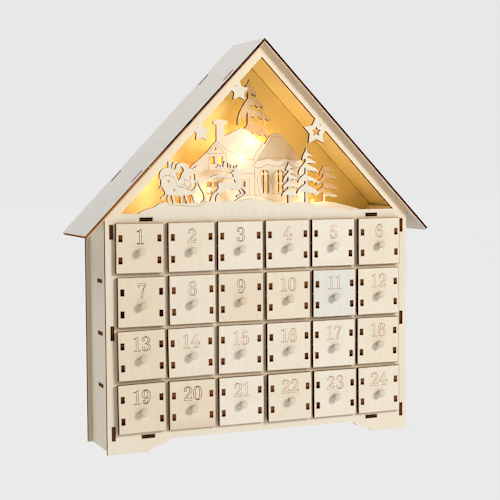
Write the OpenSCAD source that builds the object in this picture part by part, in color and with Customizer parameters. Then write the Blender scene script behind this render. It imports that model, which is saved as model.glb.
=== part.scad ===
// A wooden advent calendar shaped like a house. A plywood cabinet holds
// twenty-four small drawers, and a winter scene in cut-out layers stands
// under the pitched roof, lit by a string of lamps from a battery case.
// Millimetres, +Z up, the front looks along -Y, +X is to the right.

/* [Plywood] */
// Thickness of every sheet
ply = 3; // [2.6:0.1:3.4]
// Air that the laser leaves round a tab in its slot
kerf = 0.1; // [0.05:0.01:0.2]
// Air between two pieces of one drawer, filled by glue
glue_gap = 0.05; // [0.03:0.01:0.1]

/* [House] */
// Depth over the front and back panels
body_d = 66.4; // [64:0.2:90]
// Height of the panels' straight sides over the middle of the attic floor
side_rise = 2.6; // [2.2:0.1:4]
// Pitch of the roof in degrees
roof_pitch = 46; // [42:1:48]
// How far a side wall stands inside the panels' edges
wall_inset = 4.2; // [2:0.1:8]
// Air between the outer columns and the side walls
wall_gap = 0.6; // [0.3:0.1:3]
// Height of the base panel's underside over the arch
base_rise = 2.1; // [1:0.1:4]
// Air between the top row's fronts and the attic floor
attic_gap = 1.8; // [1:0.1:4]

/* [Roof] */
// Reach of a roof panel down the slope past the panels' corners
eave_reach = 25.1; // [15:0.1:40]
// Overhang of the roof in front of the front panel
roof_over_front = 6.9; // [4:0.1:12]
// Overhang of the roof behind the back panel
roof_over_back = 4.8; // [4.5:0.1:12]
// Slope distance from the ridge to the upper gable tabs
gable_tab_high = 43.8; // [30:0.1:60]
// Slope distance from the panels' corners up to the lower gable tabs
gable_tab_rise = 46.7; // [30:0.1:90]
// Length of a gable tab
gable_tab_len = 13.6; // [8:0.1:18]

/* [Feet] */
// Width of a foot at the ground
foot_w = 36.6; // [25:0.1:50]
// Height of the arch between the feet
arch_h = 10.5; // [6:0.1:11.5]
// Width of the curve between a foot and the arch
arch_curve_w = 23.2; // [10:0.1:30]

/* [Window] */
// Height of the window's lower edge over the attic floor
window_sill = 3.7; // [3.3:0.1:5.2]
// Width of the rim between the window and the roof
window_rim = 8.5; // [6:0.1:12]

/* [Tabs] */
// Length of a side wall's tabs
wall_tab_len = 12.4; // [8:0.1:16]
// Height of the lowest wall tab over the middle of the base panel
wall_tab_rise = 4.5; // [4:0.1:10]
// Drop of the highest wall tab below the middle of the attic floor
wall_tab_drop = 10.6; // [9:0.1:22]
// Number of tabs on each upright edge of a side wall
wall_tabs = 3; // [2:1:4]
// Distance of the floor tabs from the side walls
floor_tab_inset = 30.6; // [20:0.1:42]
// Length of the floor tabs
floor_tab_len = 12; // [8:0.1:16]
// Length of a shelf's tab in the side wall
shelf_tab_len = 15; // [10:0.1:20]

/* [Drawers] */
// Width and height of a drawer front
front_w = 44; // [40:0.1:52]
// Gap between neighbouring drawer fronts
front_gap = 3.4; // [2:0.1:5]
// Reach of a front past its tray at both sides and below
front_lap = 2.6; // [1.8:0.1:4]
// Reach of a front over the upper edge of its tray
front_head = 7.2; // [6:0.1:10]
// Air between the trays and the back panel
tray_rear_gap = 7.4; // [1:0.1:20]
// Air between the lowest runners and the base panel
runner_lift = 2; // [0.5:0.1:5]
// Rise of the tray's bottom board over the tray's underside
bottom_rise = 2; // [1:0.1:4]
// Air between a tray and the runners that carry it
ride_gap = 0.3; // [0.2:0.05:0.5]
// Air over a tray in its opening
head_gap = 0.8; // [0.7:0.05:0.8]
// Air beside a tray in its opening
side_gap = 1.3; // [1.3:0.05:1.6]
// Largest distance that a drawer stands to one side at rest
side_max = 1; // [0:0.1:1]
// Largest distance that a drawer stands open at rest
pull_max = 2.5; // [0:0.1:5]
// Largest turn of a drawer in its opening, in degrees
roll_max = 1; // [0:0.1:1]
// Height of the tabs that hold a tray to its front
tray_tab_h = 5.5; // [4:0.1:7]
// Height of the lower tray tabs over the tray's underside
tray_tab_low = 8.8; // [8:0.1:10]
// Drop of the upper tray tabs below the tray's upper edge
tray_tab_high = 6; // [4:0.1:8]
// Length of the bottom board's side tabs
bottom_tab_len = 12; // [6:0.5:20]

/* [Knobs] */
// Diameter of a knob's head
knob_d = 7.4; // [6:0.1:10]
// Length of a knob in front of the drawer front
knob_len = 8; // [6:0.1:12]
// Diameter of the peg that is glued into the front
knob_peg_d = 3; // [2:0.1:3.4]
// Drop of the knob below the middle of the front
knob_drop = 3.1; // [2:0.1:6]

/* [Scene] */
// Distance from the tree layer to the battery case
tree_gap = 5.1; // [2:0.1:8]
// Length of the sleigh
sleigh_l = 43; // [38:0.5:45]
// Length of the reindeer over its nose
reindeer_l = 37.4; // [32:0.2:39]
// Height of the reindeer up to its antlers' root
reindeer_h = 35; // [30:0.5:37]
// Width of the cottage
cottage_w = 115; // [110:0.5:118]
// Height of the cottage's ridge over the attic floor
cottage_h = 80.3; // [74:0.1:82]
// Height of the small fir
small_fir_h = 37.8; // [30:0.2:40]
// Height of the large fir
large_fir_h = 50.8; // [44:0.2:52]
// Height of the fir beside the cottage
side_fir_h = 36.8; // [32:0.2:38]
// Height of the tall fir behind the cottage
tall_fir_h = 126.7; // [122:0.1:129]
// Length of the tabs under the scene layers
layer_tab_len = 14; // [8:0.5:20]

/* [Lights] */
// How far the battery case stands out of the back panel
case_proud = 2.9; // [1:0.1:3.5]
// Wall of the battery case
case_wall = 1.6; // [1.2:0.1:2]
// Diameter of a battery cell
cell_d = 14.2; // [13.5:0.1:17]
// Length of a battery cell
cell_l = 50; // [44:0.5:56]
// Travel of the switch
switch_travel = 3; // [2:0.1:4]
// Diameter of the lamps' wire
wire_d = 1.2; // [1:0.1:1.6]
// Diameter of a lamp
lamp_d = 3.4; // [3:0.1:5]
// Length of a lamp
lamp_len = 5.2; // [4.5:0.1:7]

/* [Hidden] */
drawer_cols = 6;
drawer_rows = 4;
drawer_count = drawer_cols * drawer_rows;
function drawer_name(n) = str("drawer_", n < 10 ? "0" : "", n);

wood = [0.91, 0.85, 0.74];
shade_wood = [0.86, 0.78, 0.66];
knob_wood = [0.93, 0.88, 0.78];
white_plastic = [0.93, 0.93, 0.91];
steel = [0.72, 0.72, 0.70];
lamp_glow = [1.0, 0.86, 0.52];
cell_skin = [0.25, 0.33, 0.30];

// Curves are drawn with this many segments
round_fn = 48;
small_fn = 24;
// A cut runs this far past the piece that it cuts
overrun = 1;

// Trays and their openings, from the middle of a drawer's front
tray_w = front_w - 2 * front_lap;
tray_h = front_w - front_lap - front_head;
tray_drop = front_w / 2 - front_lap;
tray_top = tray_h - tray_drop;
tray_side_x = tray_w / 2 - ply / 2;
tray_in_x = tray_w / 2 - ply;
tray_tab_zs = [tray_tab_low - tray_drop, tray_top - tray_tab_high];
opening_w = tray_w + 2 * side_gap;
opening_low = -tray_drop - ride_gap;
opening_high = tray_top + head_gap;

// Grid of drawers, and the levels and planes of the house round it
drawer_pitch = front_w + front_gap;
base_top = arch_h + base_rise + ply;
base_z = base_top - ply / 2;
low_row_z = base_top + runner_lift + ply - opening_low;
shelf_drop = drawer_pitch - opening_high - ply / 2;
function drawer_col(n) = (n - 1) % drawer_cols;
function drawer_row(n) = floor((n - 1) / drawer_cols);
function column_x(c) = (c - (drawer_cols - 1) / 2) * drawer_pitch;
function row_z(r) = low_row_z + (drawer_rows - 1 - r) * drawer_pitch;
function shelf_z(r) = row_z(r) - shelf_drop;
function divider_x(k) = (k - drawer_cols / 2) * drawer_pitch;
attic_under = row_z(0) + front_w / 2 + attic_gap;
attic_z = attic_under + ply / 2;
attic_top = attic_under + ply;
side_h = attic_z + side_rise;
inner_x = drawer_cols / 2 * drawer_pitch + wall_gap;
wall_x = inner_x + ply / 2;
body_w = 2 * (inner_x + ply + wall_inset);
back_y = body_d - ply;
mid_y = body_d / 2;
tray_d = back_y - tray_rear_gap;
wall_tab_low = base_z + wall_tab_rise;
wall_tab_high = attic_z - wall_tab_drop;
floor_tab_x = inner_x - floor_tab_inset;
shelf_tab_x = column_x(drawer_cols - 2);

// The two roof undersides meet over the middle at this height
ridge_z = side_h + body_w / 2 * tan(roof_pitch);
function underside_z(x) = ridge_z - abs(x) * tan(roof_pitch);
gable_len = body_w / 2 / cos(roof_pitch);
gable_tab_low = gable_len - gable_tab_rise;
roof_len = gable_len + eave_reach;
roof_len_left = roof_len + ply;
window_z = attic_top + window_sill;
window_peak = ridge_z - window_rim / cos(roof_pitch);
window_half = (window_peak - window_z) / tan(roof_pitch);

// How each drawer stands at rest, as shares of pull_max, side_max and roll_max
pull_shares = [
    0.7, 0.5, 0.4, 0.5, 0.4, 0.7,
    0.6, 0.2, 0.2, 0.7, 1.0, 0.8,
    1.0, 0.6, 0.3, 0.4, 0.6, 0.4,
    0.9, 0.3, 0.4, 1.0, 0.6, 0.4
];
side_shares = [
    -1, 0.2, 0, -0.5, -1, -0.2,
    0.2, 0.9, 0.4, -0.2, -0.5, -1,
    -0.4, -0.9, 0, 0.4, -0.7, -1,
    -0.6, 0, 0.2, 0.7, 0.4, 0
];
roll_shares = [
    0.5, -0.1, 0, -0.3, 0.1, -0.2,
    0.1, -0.1, 0.2, 0, 0.1, 0,
    -1, -0.7, 0.4, 0.1, -0.1, 0.2,
    -1, 0.1, -0.1, -0.3, -0.1, -0.4
];
widest_pull = pull_max * max(pull_shares);

// Knob profile as shares of its radius and its length
knob_shares = [
    [0.62, 0], [0.56, 0.16], [0.60, 0.34], [0.84, 0.50], [0.98, 0.64],
    [1.00, 0.76], [0.90, 0.88], [0.66, 0.96], [0.32, 1], [0, 1]
];

// Arch beside each foot: shares of its width and height, from the foot on
arch_shares = [[0, 0], [0.18, 0.26], [0.38, 0.44], [0.56, 0.46], [0.70, 0.62], [0.86, 0.88], [1, 1]];

// Snow bank across the front: shares of the window's half width, and
// heights as shares of the bank's own height over the window's lower edge
bank_h = 12;
bank_shares = [
    [-0.88, 0], [-0.83, 0.28], [-0.77, 0.46], [-0.735, 0.72], [-0.70, 0.82], [-0.65, 0.70],
    [-0.43, 0.68], [-0.405, 0.80], [-0.18, 0.82], [-0.07, 1.00], [0.04, 0.78], [0.12, 0.50],
    [0.20, 0.62], [0.31, 0.65], [0.42, 0.44], [0.53, 0.13], [0.66, 0]
];
function bank_z(x_share) = window_z + bank_h * lookup(x_share, bank_shares);

// Stars: places as shares of the window's half width and of its height
window_h = window_peak - window_z;
star_shares = [[-0.438, 0.512], [-0.166, 0.776], [0.402, 0.520]];
star_rs = [8.8, 9.6, 13.2];
star_hole_r = 4.8;
star_waist_share = 0.53;

// Sleigh, rider and sack: shares of sleigh_l from the runner's rear end
sleigh_at_shares = [-0.734, 0.53];
line_w = 1.8;
sleigh_body_shares = [
    [0.04, 0.54], [0.06, 0.60], [0.12, 0.64], [0.20, 0.65], [0.28, 0.62], [0.33, 0.56],
    [0.37, 0.49], [0.42, 0.41], [0.50, 0.37], [0.58, 0.32], [0.66, 0.29], [0.72, 0.31],
    [0.78, 0.36], [0.81, 0.42], [0.80, 0.49], [0.79, 0.56], [0.78, 0.66], [0.815, 0.61],
    [0.83, 0.54], [0.845, 0.44], [0.83, 0.34], [0.79, 0.23], [0.49, 0.21], [0.28, 0.21],
    [0.14, 0.24], [0.11, 0.31], [0.06, 0.405], [0.00, 0.36], [0.045, 0.44]
];
runner_shares = [
    [0.84, 0.55], [0.855, 0.523], [0.872, 0.474], [0.903, 0.40], [0.943, 0.335], [0.985, 0.262],
    [1.012, 0.19], [1.012, 0.13], [0.985, 0.075], [0.92, 0.035], [0.80, 0.02], [0.60, 0.02],
    [0.40, 0.025], [0.27, 0.035], [0.215, 0.07], [0.19, 0.12], [0.195, 0.165], [0.205, 0.22]
];
scroll_shares = [[0.145, 0.26], [0.13, 0.21], [0.10, 0.175], [0.045, 0.165]];
strut_shares = [
    [[0.29, 0.23], [0.30, 0.165], [0.315, 0.11], [0.33, 0.03]],
    [[0.44, 0.23], [0.49, 0.165], [0.475, 0.11], [0.49, 0.03]],
    [[0.575, 0.23], [0.585, 0.165], [0.61, 0.105], [0.645, 0.02]],
    [[0.735, 0.24], [0.755, 0.165], [0.765, 0.105], [0.80, 0.02]]
];
rider_shares = [
    [0.312, 0.735], [0.365, 0.775], [0.38, 0.84], [0.42, 0.875], [0.50, 0.89], [0.575, 0.88],
    [0.63, 0.84], [0.65, 0.80], [0.68, 0.76], [0.73, 0.76], [0.777, 0.785], [0.815, 0.82],
    [0.866, 0.83], [0.887, 0.79], [0.874, 0.75], [0.80, 0.695], [0.73, 0.655], [0.675, 0.61],
    [0.675, 0.55], [0.75, 0.525], [0.81, 0.52], [0.81, 0.475], [0.69, 0.455], [0.69, 0.30],
    [0.60, 0.27], [0.45, 0.36], [0.41, 0.45], [0.425, 0.52], [0.47, 0.58], [0.49, 0.645],
    [0.52, 0.69], [0.545, 0.735], [0.52, 0.79], [0.475, 0.815], [0.464, 0.79], [0.468, 0.735],
    [0.456, 0.694], [0.405, 0.68], [0.346, 0.69]
];
sack_shares = [
    [0.01, 0.56], [0.01, 0.65], [0.04, 0.73], [0.10, 0.77], [0.17, 0.79], [0.24, 0.77],
    [0.30, 0.76], [0.35, 0.70], [0.375, 0.63], [0.395, 0.57], [0.43, 0.51], [0.43, 0.42], [0.36, 0.42],
    [0.20, 0.56], [0.06, 0.52]
];
gift_shares = [[0.20, 0.74], [0.205, 0.90], [0.17, 0.98], [0.265, 0.98], [0.27, 0.88], [0.26, 0.74]];
cane_shares = [[0.29, 0.74], [0.31, 0.84], [0.34, 0.89], [0.38, 0.88]];

// Reindeer: shares of its length and height from its rear hoof
deer_at_shares = [-0.382, 0.783];
deer_body_shares = [
    [0.215, 0.45], [0.24, 0.485], [0.33, 0.50], [0.43, 0.50], [0.55, 0.495], [0.62, 0.48],
    [0.682, 0.475], [0.655, 0.565], [0.622, 0.65], [0.615, 0.70], [0.552, 0.731], [0.625, 0.79],
    [0.655, 0.845], [0.70, 0.845], [0.735, 0.82], [0.81, 0.783], [0.88, 0.745], [0.877, 0.70],
    [0.817, 0.68], [0.79, 0.655], [0.812, 0.605], [0.845, 0.54], [0.864, 0.473], [0.855, 0.41],
    [0.826, 0.35], [0.75, 0.30], [0.66, 0.29], [0.55, 0.33], [0.45, 0.31], [0.36, 0.24],
    [0.25, 0.19], [0.19, 0.27], [0.212, 0.31], [0.24, 0.38]
];
deer_leg_shares = [
    [[0.27, 0.36], [0.20, 0.25], [0.10, 0.19], [0.065, 0.09], [0.025, -0.01]],
    [[0.30, 0.32], [0.26, 0.20], [0.20, 0.13], [0.185, 0.06], [0.18, -0.04]],
    [[0.79, 0.40], [0.92, 0.30], [0.975, 0.205]],
    [[0.985, 0.225], [0.89, 0.131], [0.80, 0.079], [0.69, 0.00], [0.66, -0.02]],
    [[0.76, 0.37], [0.86, 0.19]],
    [[0.87, 0.20], [0.80, 0.155], [0.71, 0.12]]
];
antler_shares = [
    [[0.66, 0.825], [0.61, 0.84], [0.51, 0.85], [0.41, 0.865], [0.29, 0.875], [0.185, 0.885]],
    [[0.246, 0.875], [0.246, 0.965]],
    [[0.315, 0.87], [0.305, 0.945]],
    [[0.38, 0.865], [0.38, 0.975], [0.415, 1.045]],
    [[0.497, 0.85], [0.497, 1.00]],
    [[0.57, 0.845], [0.566, 0.965]],
    [[0.665, 0.83], [0.655, 0.925]],
    [[0.695, 0.83], [0.735, 0.94]]
];
leg_w = 1.9;
antler_w = 1.3;
rein_w = 2.0;
// The reins run from the sleigh's dash to the reindeer's neck
rein_shares = [
    [-0.335, 0.59], [-0.20, 0.585], [-0.08, 0.58], [0.02, 0.60], [0.12, 0.64], [0.22, 0.665],
    [0.32, 0.66], [0.45, 0.64], [0.65, 0.59]
];

// Firs: each branch is its root height, reach, tip height and thickness,
// as shares of the fir's height
fir_right_shares = [
    [0.905, 0.12, 0.843, 0.045], [0.813, 0.185, 0.722, 0.078], [0.692, 0.25, 0.555, 0.086],
    [0.495, 0.264, 0.345, 0.076], [0.318, 0.266, 0.157, 0.126]
];
fir_left_shares = [
    [0.96, 0.09, 0.775, 0.15], [0.757, 0.175, 0.505, 0.096], [0.54, 0.183, 0.358, 0.136],
    [0.353, 0.208, 0.16, 0.15]
];
side_right_shares = [
    [0.97, 0.30, 0.82, 0.10], [0.80, 0.38, 0.64, 0.12], [0.56, 0.40, 0.36, 0.13],
    [0.34, 0.40, 0.17, 0.12]
];
side_left_shares = [[0.95, 0.14, 0.72, 0.14], [0.70, 0.24, 0.45, 0.14], [0.45, 0.28, 0.20, 0.14]];
tall_right_shares = [
    [0.957, 0.064, 0.882, 0.055], [0.870, 0.126, 0.791, 0.056], [0.781, 0.184, 0.691, 0.053],
    [0.677, 0.173, 0.562, 0.070], [0.508, 0.195, 0.385, 0.072]
];
tall_left_shares = [
    [0.99, 0.051, 0.877, 0.082], [0.867, 0.11, 0.65, 0.103], [0.672, 0.123, 0.457, 0.102],
    [0.467, 0.133, 0.283, 0.102]
];
// Half widths of a trunk at its foot, at mid height and near its top
fir_trunk_shares = [0.024, 0.020, 0.013];
side_trunk_shares = [0.035, 0.030, 0.020];
tall_trunk_shares = [0.024, 0.019, 0.008];
branch_bow_share = 0.62;
branch_sag_share = 0.24;
leaf_bow_share = 1.0;
leaf_sag_share = 0.6;
leaf_belly_share = 0.44;
leaf_tip_share = 0.9;
trunk_mid_share = 0.5;
trunk_sunk_share = 0.03;
branch_tooth_share = 0.016;
branch_steps = 5;
branch_teeth = 3;
small_fir_share = 0.197;
large_fir_share = 0.3275;

// Cottage: shares of its width and of its height over the attic floor
cottage_left_share = -0.459;
cottage_shares = [
    [0, 0], [0, 0.559], [0.124, 0.706], [0.225, 0.868], [0.302, 0.915], [0.430, 1.0], [0.487, 0.973],
    [0.639, 0.813], [0.663, 0.870], [0.688, 0.910], [0.711, 0.935], [0.740, 0.944], [0.768, 0.943],
    [0.792, 0.922], [0.817, 0.885], [0.891, 0.760], [0.973, 0.601], [1, 0.537], [1, 0]
];
chimney_share = 0.253;
chimney_root_share = 0.80;
chimney_top_share = 1.093;
chimney_w = 7.8;
chimney_cap_w = 14.8;
chimney_cap_h = 5.4;
loft_window_shares = [0.206, 0.761];
loft_window_d = 2.6;
upper_window_shares = [[0.1835, 0.630], [0.251, 0.630]];
upper_window_w = 4;
upper_window_h = 6;
lower_window_shares = [[0.153, 0.315], [0.211, 0.315], [0.445, 0.315]];
lower_window_w = 5;
lower_window_h = 11.4;
arch_window_shares = [[0.6357, 0.250], [0.768, 0.250]];
arch_window_w = 8;
arch_window_h = 21.6;
arch_window_panes = [2, 3];
window_bar = 1.3;
rear_bank_w = 56;
rear_bank_h = 11.4;
rear_bank_shares = [[0, 0.62], [0.18, 0.92], [0.36, 1.00], [0.58, 0.84], [0.80, 0.58], [1, 0.34]];
side_fir_share = 1.168;
side_fir_root_share = 0.8;
tree_bank_w = 176;
tree_bank_h = 8;
tree_bank_shares = [[0, 0.4], [0.15, 0.8], [0.32, 0.6], [0.5, 1], [0.7, 0.7], [0.86, 0.9], [1, 0.4]];
tall_fir_x = 4;
tree_root = 4;
layer_tab_shares = [0.16, 0.84];
cottage_left = window_half * cottage_left_share;
cottage_right = cottage_left + cottage_w;
rear_bank_right = cottage_right + rear_bank_w;
tree_bank_left = tall_fir_x - tree_bank_w / 2;
tree_bank_right = tall_fir_x + tree_bank_w / 2;

// Battery case, lid, cells and switch, over the attic floor
case_x = -11;
case_gap = 0.3;
lid_t = 1.5;
lid_fit = 0.15;
lid_groove = 0.9;
lid_lip = 0.9;
lid_grips = 5;
lid_grip_inset = 4.4;
lid_grip_w = 1;
lid_grip_h = 12;
lid_grip_pitch = 2.2;
lid_grip_rise = 0.5;
switch_bay_w = 12;
slot_margin = 0.3;
switch_w = 6;
switch_d = 5;
switch_rim = 2;
switch_slot_d = 2;
switch_knob_w = 3;
switch_knob_h = 3;
switch_knob_rise = 1.2;
switch_h = switch_knob_h + switch_travel + 2 * switch_rim;
contact_t = 0.5;
contact_w = 10;
spring_d = 7;
cell_nub_d = 5.4;
cell_nub_l = 1;
cell_fit = 0.3;
cell_air = 0.1;
cell_margin = 0.65;
cell_end_gap = 1.4;
lid_clear = 2.55;
cell_pitch = cell_d + cell_air;
case_l = 2 * case_wall + cell_l + 2 * cell_end_gap + switch_bay_w;
case_h = cell_pitch + cell_d + 2 * cell_margin + 2 * case_wall;
case_d = case_wall + cell_fit + cell_d + lid_clear + lid_fit + lid_t + lid_lip;
case_face_y = body_d + case_proud;
case_low = attic_top;
case_high = case_low + case_h;
wire_hole_d = wire_d + 2 * glue_gap;
case_left = case_x - case_l / 2;
case_right = case_x + case_l / 2;
case_front_y = case_face_y - case_d;
bay_wall_x = case_right - switch_bay_w;
lid_back_y = case_face_y - lid_lip;
cells_y = case_front_y + case_wall + cell_fit + cell_d / 2;
cells_z = case_low + case_h / 2;
switch_z = cells_z;
switch_x = (bay_wall_x + case_right - case_wall) / 2;

// The layers share out the depth between the front and the battery case
cottage_depth_share = 0.5;
tree_y = case_front_y - tree_gap - ply;
cottage_y = tree_y * cottage_depth_share;

// The origin stands under the middle of the whole box
reach_front = max(ply + widest_pull + knob_len, roof_over_front);
reach_back = max(body_d + roof_over_back, case_face_y + switch_knob_rise);
box_mid_y = (reach_back - reach_front) / 2;

// Lamp wire: it leaves the case's top, comes round behind the tall fir's
// branches, crosses in front of them, runs down before the cottage and
// along the attic floor. Points chosen by hand, from the tree layer and
// then from the cottage layer, and over the attic floor.
wire_rear_points = [
    [-18, 12, 30.7], [-18, 12, 33.7], [-17, 11.5, 38.7], [-8, 10, 46.7], [8, 9, 54.7],
    [20, 8, 61.7], [26, 7, 69.7], [25.5, 6, 76.7], [21.5, 6, 82.7], [18, 6, 86.3], [14, 6, 88],
    [9.5, 6, 88.7], [5.5, 6, 90.7], [5.5, 6, 93.7], [9, 6, 95.9], [13.5, 4.8, 97.3],
    [16.4, 1.5, 97.7], [17, -2, 95.3], [18, -2.6, 89.7], [18.4, -3, 83.7], [17, -4.5, 78.7],
    [12.6, -9, 75.7]
];
wire_front_points = [
    [6, 4.5, 75.5], [1.6, -3, 71.8], [-3.3, -5, 65.8], [-9.4, -6, 58.4], [-14.5, -6, 50.8],
    [-22, -5, 43], [-32, -5, 34], [-41, -6, 27], [-47, -6, 22.1], [-53, -6, 18],
    [-57.5, -7, 13.4], [-58, -8, 7.2], [-53, -9, 2.7], [-38, -10, 1.3], [-12, -10, 1.1],
    [16, -10, 1.1], [40, -9, 1.7], [51, -8, 4.9], [56.5, -7, 10]
];
wire_points = concat(
    [for (p = wire_rear_points) p + [0, tree_y, attic_top]],
    [for (p = wire_front_points) p + [0, cottage_y, attic_top]]
);
wire_steps = 2;
wire_sides = 8;
wire_sway = [0.1, 1, 0.05];
// Lamps sit on the wire at these points of the list above
lamp_points = [3, 5, 24, 26, 30, 32, 40];

function unit(v) = v / norm(v);
function curve(a, b, c, t) = (1 - t) * (1 - t) * a + 2 * t * (1 - t) * b + t * t * c;

// A band of width w along a list of points
function band_normal(p, i) =
    let (d = p[min(i + 1, len(p) - 1)] - p[max(i - 1, 0)]) [-d.y, d.x] / norm(d);
function band(p, w) = concat(
    [for (i = [0:len(p) - 1]) p[i] + band_normal(p, i) * w / 2],
    [for (i = [len(p) - 1:-1:0]) p[i] - band_normal(p, i) * w / 2]
);

// Points given as shares, spread over a width and a height from a place
function spread(p, at, w, h) = [for (q = p) [at.x + q.x * w, at.y + q.y * h]];

// A piece standing upright across the house, drawn in x and z
module upright(y) {
    translate([0, y + ply, 0]) rotate([90, 0, 0]) children();
}

module upright_sheet(y) {
    upright(y) linear_extrude(ply) children();
}

module cut_outs(outlines) {
    for (o = outlines) linear_extrude(ply) polygon(o);
}

// A sheet standing upright along the house, drawn in y and z
module side_sheet(x) {
    translate([x - ply / 2, 0, 0]) rotate([90, 0, 90]) linear_extrude(ply) children();
}

// A lying sheet, drawn in x and y, given by the height of its middle
module flat_sheet(z) {
    translate([0, 0, z - ply / 2]) linear_extrude(ply) children();
}

module centred(w, h, at = [0, 0]) {
    translate([at.x - w / 2, at.y - h / 2]) square([w, h]);
}

module placed() {
    translate([0, -box_mid_y, 0]) children();
}

function wall_tab_zs() =
    [for (k = [0:wall_tabs - 1]) wall_tab_low + (wall_tab_high - wall_tab_low) * k / (wall_tabs - 1)];

// A point at a distance down the slope, and outwards from it
function slope_point(u, out) = [
    u * cos(roof_pitch) + out * sin(roof_pitch),
    ridge_z - u * sin(roof_pitch) + out * cos(roof_pitch)
];

// Right half of the front and back panels, from the ridge to the arch,
// with the tabs that stand up through the roof
half_outline = concat(
    [[0, ridge_z]],
    [for (u = [gable_tab_high, gable_tab_low], c = [[-1, 0], [-1, 1], [1, 1], [1, 0]])
        slope_point(u + c.x * gable_tab_len / 2, c.y * ply)],
    [[body_w / 2, side_h], [body_w / 2, 0]],
    spread(arch_shares, [body_w / 2 - foot_w, 0], -arch_curve_w, arch_h)
);
house_outline = concat(
    half_outline,
    [for (i = [len(half_outline) - 1:-1:1]) [-half_outline[i].x, half_outline[i].y]]
);

module panel_slots() {
    for (s = [-1, 1]) {
        for (z = wall_tab_zs())
            centred(ply + 2 * kerf, wall_tab_len + 2 * kerf, [s * wall_x, z]);
        for (z = [base_z, attic_z])
            centred(floor_tab_len + 2 * kerf, ply + 2 * kerf, [s * floor_tab_x, z]);
    }
}

module drawer_openings() {
    for (c = [0:drawer_cols - 1], r = [0:drawer_rows - 1])
        translate([column_x(c) - opening_w / 2, row_z(r) + opening_low])
            square([opening_w, opening_high - opening_low]);
}

function star(at, r) = [
    for (k = [0:9])
        let (a = 90 + 36 * k, d = k % 2 == 0 ? r : r * star_waist_share) at + d * [cos(a), sin(a)]
];

// A right-hand branch: a bowed top and a toothed lower edge
function branch(b) =
    let (root = [0, b[0]], tip = [b[1], b[2]], low_root = [0, b[0] - b[3]])
    let (crown = [b[1] * branch_bow_share, b[0] - (b[0] - b[2]) * branch_sag_share])
    let (belly = crown - [0, b[3]])
    concat(
        [for (i = [0:branch_steps]) curve(root, crown, tip, i / branch_steps)],
        [for (i = [1:2 * branch_teeth - 1])
            curve(tip, belly, low_root, i / (2 * branch_teeth)) - [0, i % 2 == 1 ? branch_tooth_share : 0]],
        [low_root]
    );

// A left-hand branch hangs as a leaf with a slit beside the trunk
function leaf(b) =
    let (root = [0, b[0]], tip = [-b[1] * leaf_tip_share, b[2]])
    let (low_root = [0, b[0] - b[3]], drop = b[0] - b[2])
    let (crown = [-b[1] * leaf_bow_share, b[0] - drop * leaf_sag_share])
    let (belly = [-b[1] * leaf_belly_share, b[0] - (b[3] + drop) / 2])
    concat(
        [for (i = [0:branch_steps]) curve(root, crown, tip, i / branch_steps)],
        [for (i = [1:branch_steps]) curve(tip, belly, low_root, i / branch_steps)]
    );

// A trunk starts in the bank that it stands on
function trunk(t) = [
    [-t[0], -trunk_sunk_share], [-t[1], trunk_mid_share], [-t[2], 1 - t[0]], [0, 1],
    [t[2], 1 - t[0]], [t[1], trunk_mid_share], [t[0], -trunk_sunk_share]
];

function fir(at, h, right = fir_right_shares, left = fir_left_shares, t = fir_trunk_shares) = concat(
    [spread(trunk(t), at, h, h)],
    [for (b = right) spread(branch(b), at, h, h)],
    [for (b = left) spread(leaf(b), at, h, h)]
);

function on_bank(at) = [at.x * window_half, window_z + at.y * bank_h];

sleigh_outlines = let (at = on_bank(sleigh_at_shares), l = sleigh_l) concat(
    [for (p = [sleigh_body_shares, rider_shares, sack_shares, gift_shares]) spread(p, at, l, l)],
    [for (p = concat([runner_shares, scroll_shares, cane_shares], strut_shares))
        band(spread(p, at, l, l), line_w)]
);

reindeer_outlines = let (at = on_bank(deer_at_shares), l = reindeer_l, h = reindeer_h) concat(
    [spread(deer_body_shares, at, l, h)],
    [for (p = deer_leg_shares) band(spread(p, at, l, h), leg_w)],
    [for (p = antler_shares) band(spread(p, at, l, h), antler_w)],
    [band(spread(rein_shares, at, l, h), rein_w)]
);

bank_outline = concat(
    [[window_half, window_z - overrun], [-window_half, window_z - overrun], [-window_half, window_z]],
    spread(bank_shares, [0, window_z], window_half, bank_h),
    [[window_half, window_z]]
);

function star_at(k) = [star_shares[k].x * window_half, window_z + star_shares[k].y * window_h];

front_scene = concat(
    [bank_outline],
    sleigh_outlines,
    reindeer_outlines,
    fir([small_fir_share * window_half, bank_z(small_fir_share)], small_fir_h),
    fir([large_fir_share * window_half, bank_z(large_fir_share)], large_fir_h),
    [for (k = [0, 1]) star(star_at(k), star_rs[k])]
);

module front_panel() {
    color(wood) placed() upright(0) {
        linear_extrude(ply) difference() {
            polygon(house_outline);
            polygon([[-window_half, window_z], [window_half, window_z], [0, window_peak]]);
            drawer_openings();
            panel_slots();
        }
        cut_outs(front_scene);
        linear_extrude(ply) difference() {
            polygon(star(star_at(2), star_rs[2]));
            polygon(star(star_at(2), star_hole_r));
        }
    }
}

module back_panel() {
    color(shade_wood) placed() upright_sheet(back_y) difference() {
        polygon(house_outline);
        panel_slots();
        for (r = [0:drawer_rows - 2], s = [-1, 1])
            centred(floor_tab_len + 2 * kerf, ply + 2 * kerf, [s * shelf_tab_x, shelf_z(r)]);
        translate([case_left - case_gap, attic_top])
            square([case_l + 2 * case_gap, case_h + case_gap]);
    }
}

// Side walls stop just under the roof and show the shelves' tabs
module side_wall(side) {
    wall_top = underside_z(body_w / 2 - wall_inset) - kerf;
    side_sheet(side * wall_x) difference() {
        union() {
            translate([ply, 0]) square([body_d - 2 * ply, wall_top]);
            for (z = wall_tab_zs()) centred(body_d, wall_tab_len, [mid_y, z]);
        }
        for (r = [0:drawer_rows - 2])
            centred(shelf_tab_len + 2 * kerf, ply + 2 * kerf, [mid_y, shelf_z(r)]);
    }
}

module left_wall() { color(shade_wood) placed() side_wall(-1); }
module right_wall() { color(shade_wood) placed() side_wall(1); }

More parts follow.
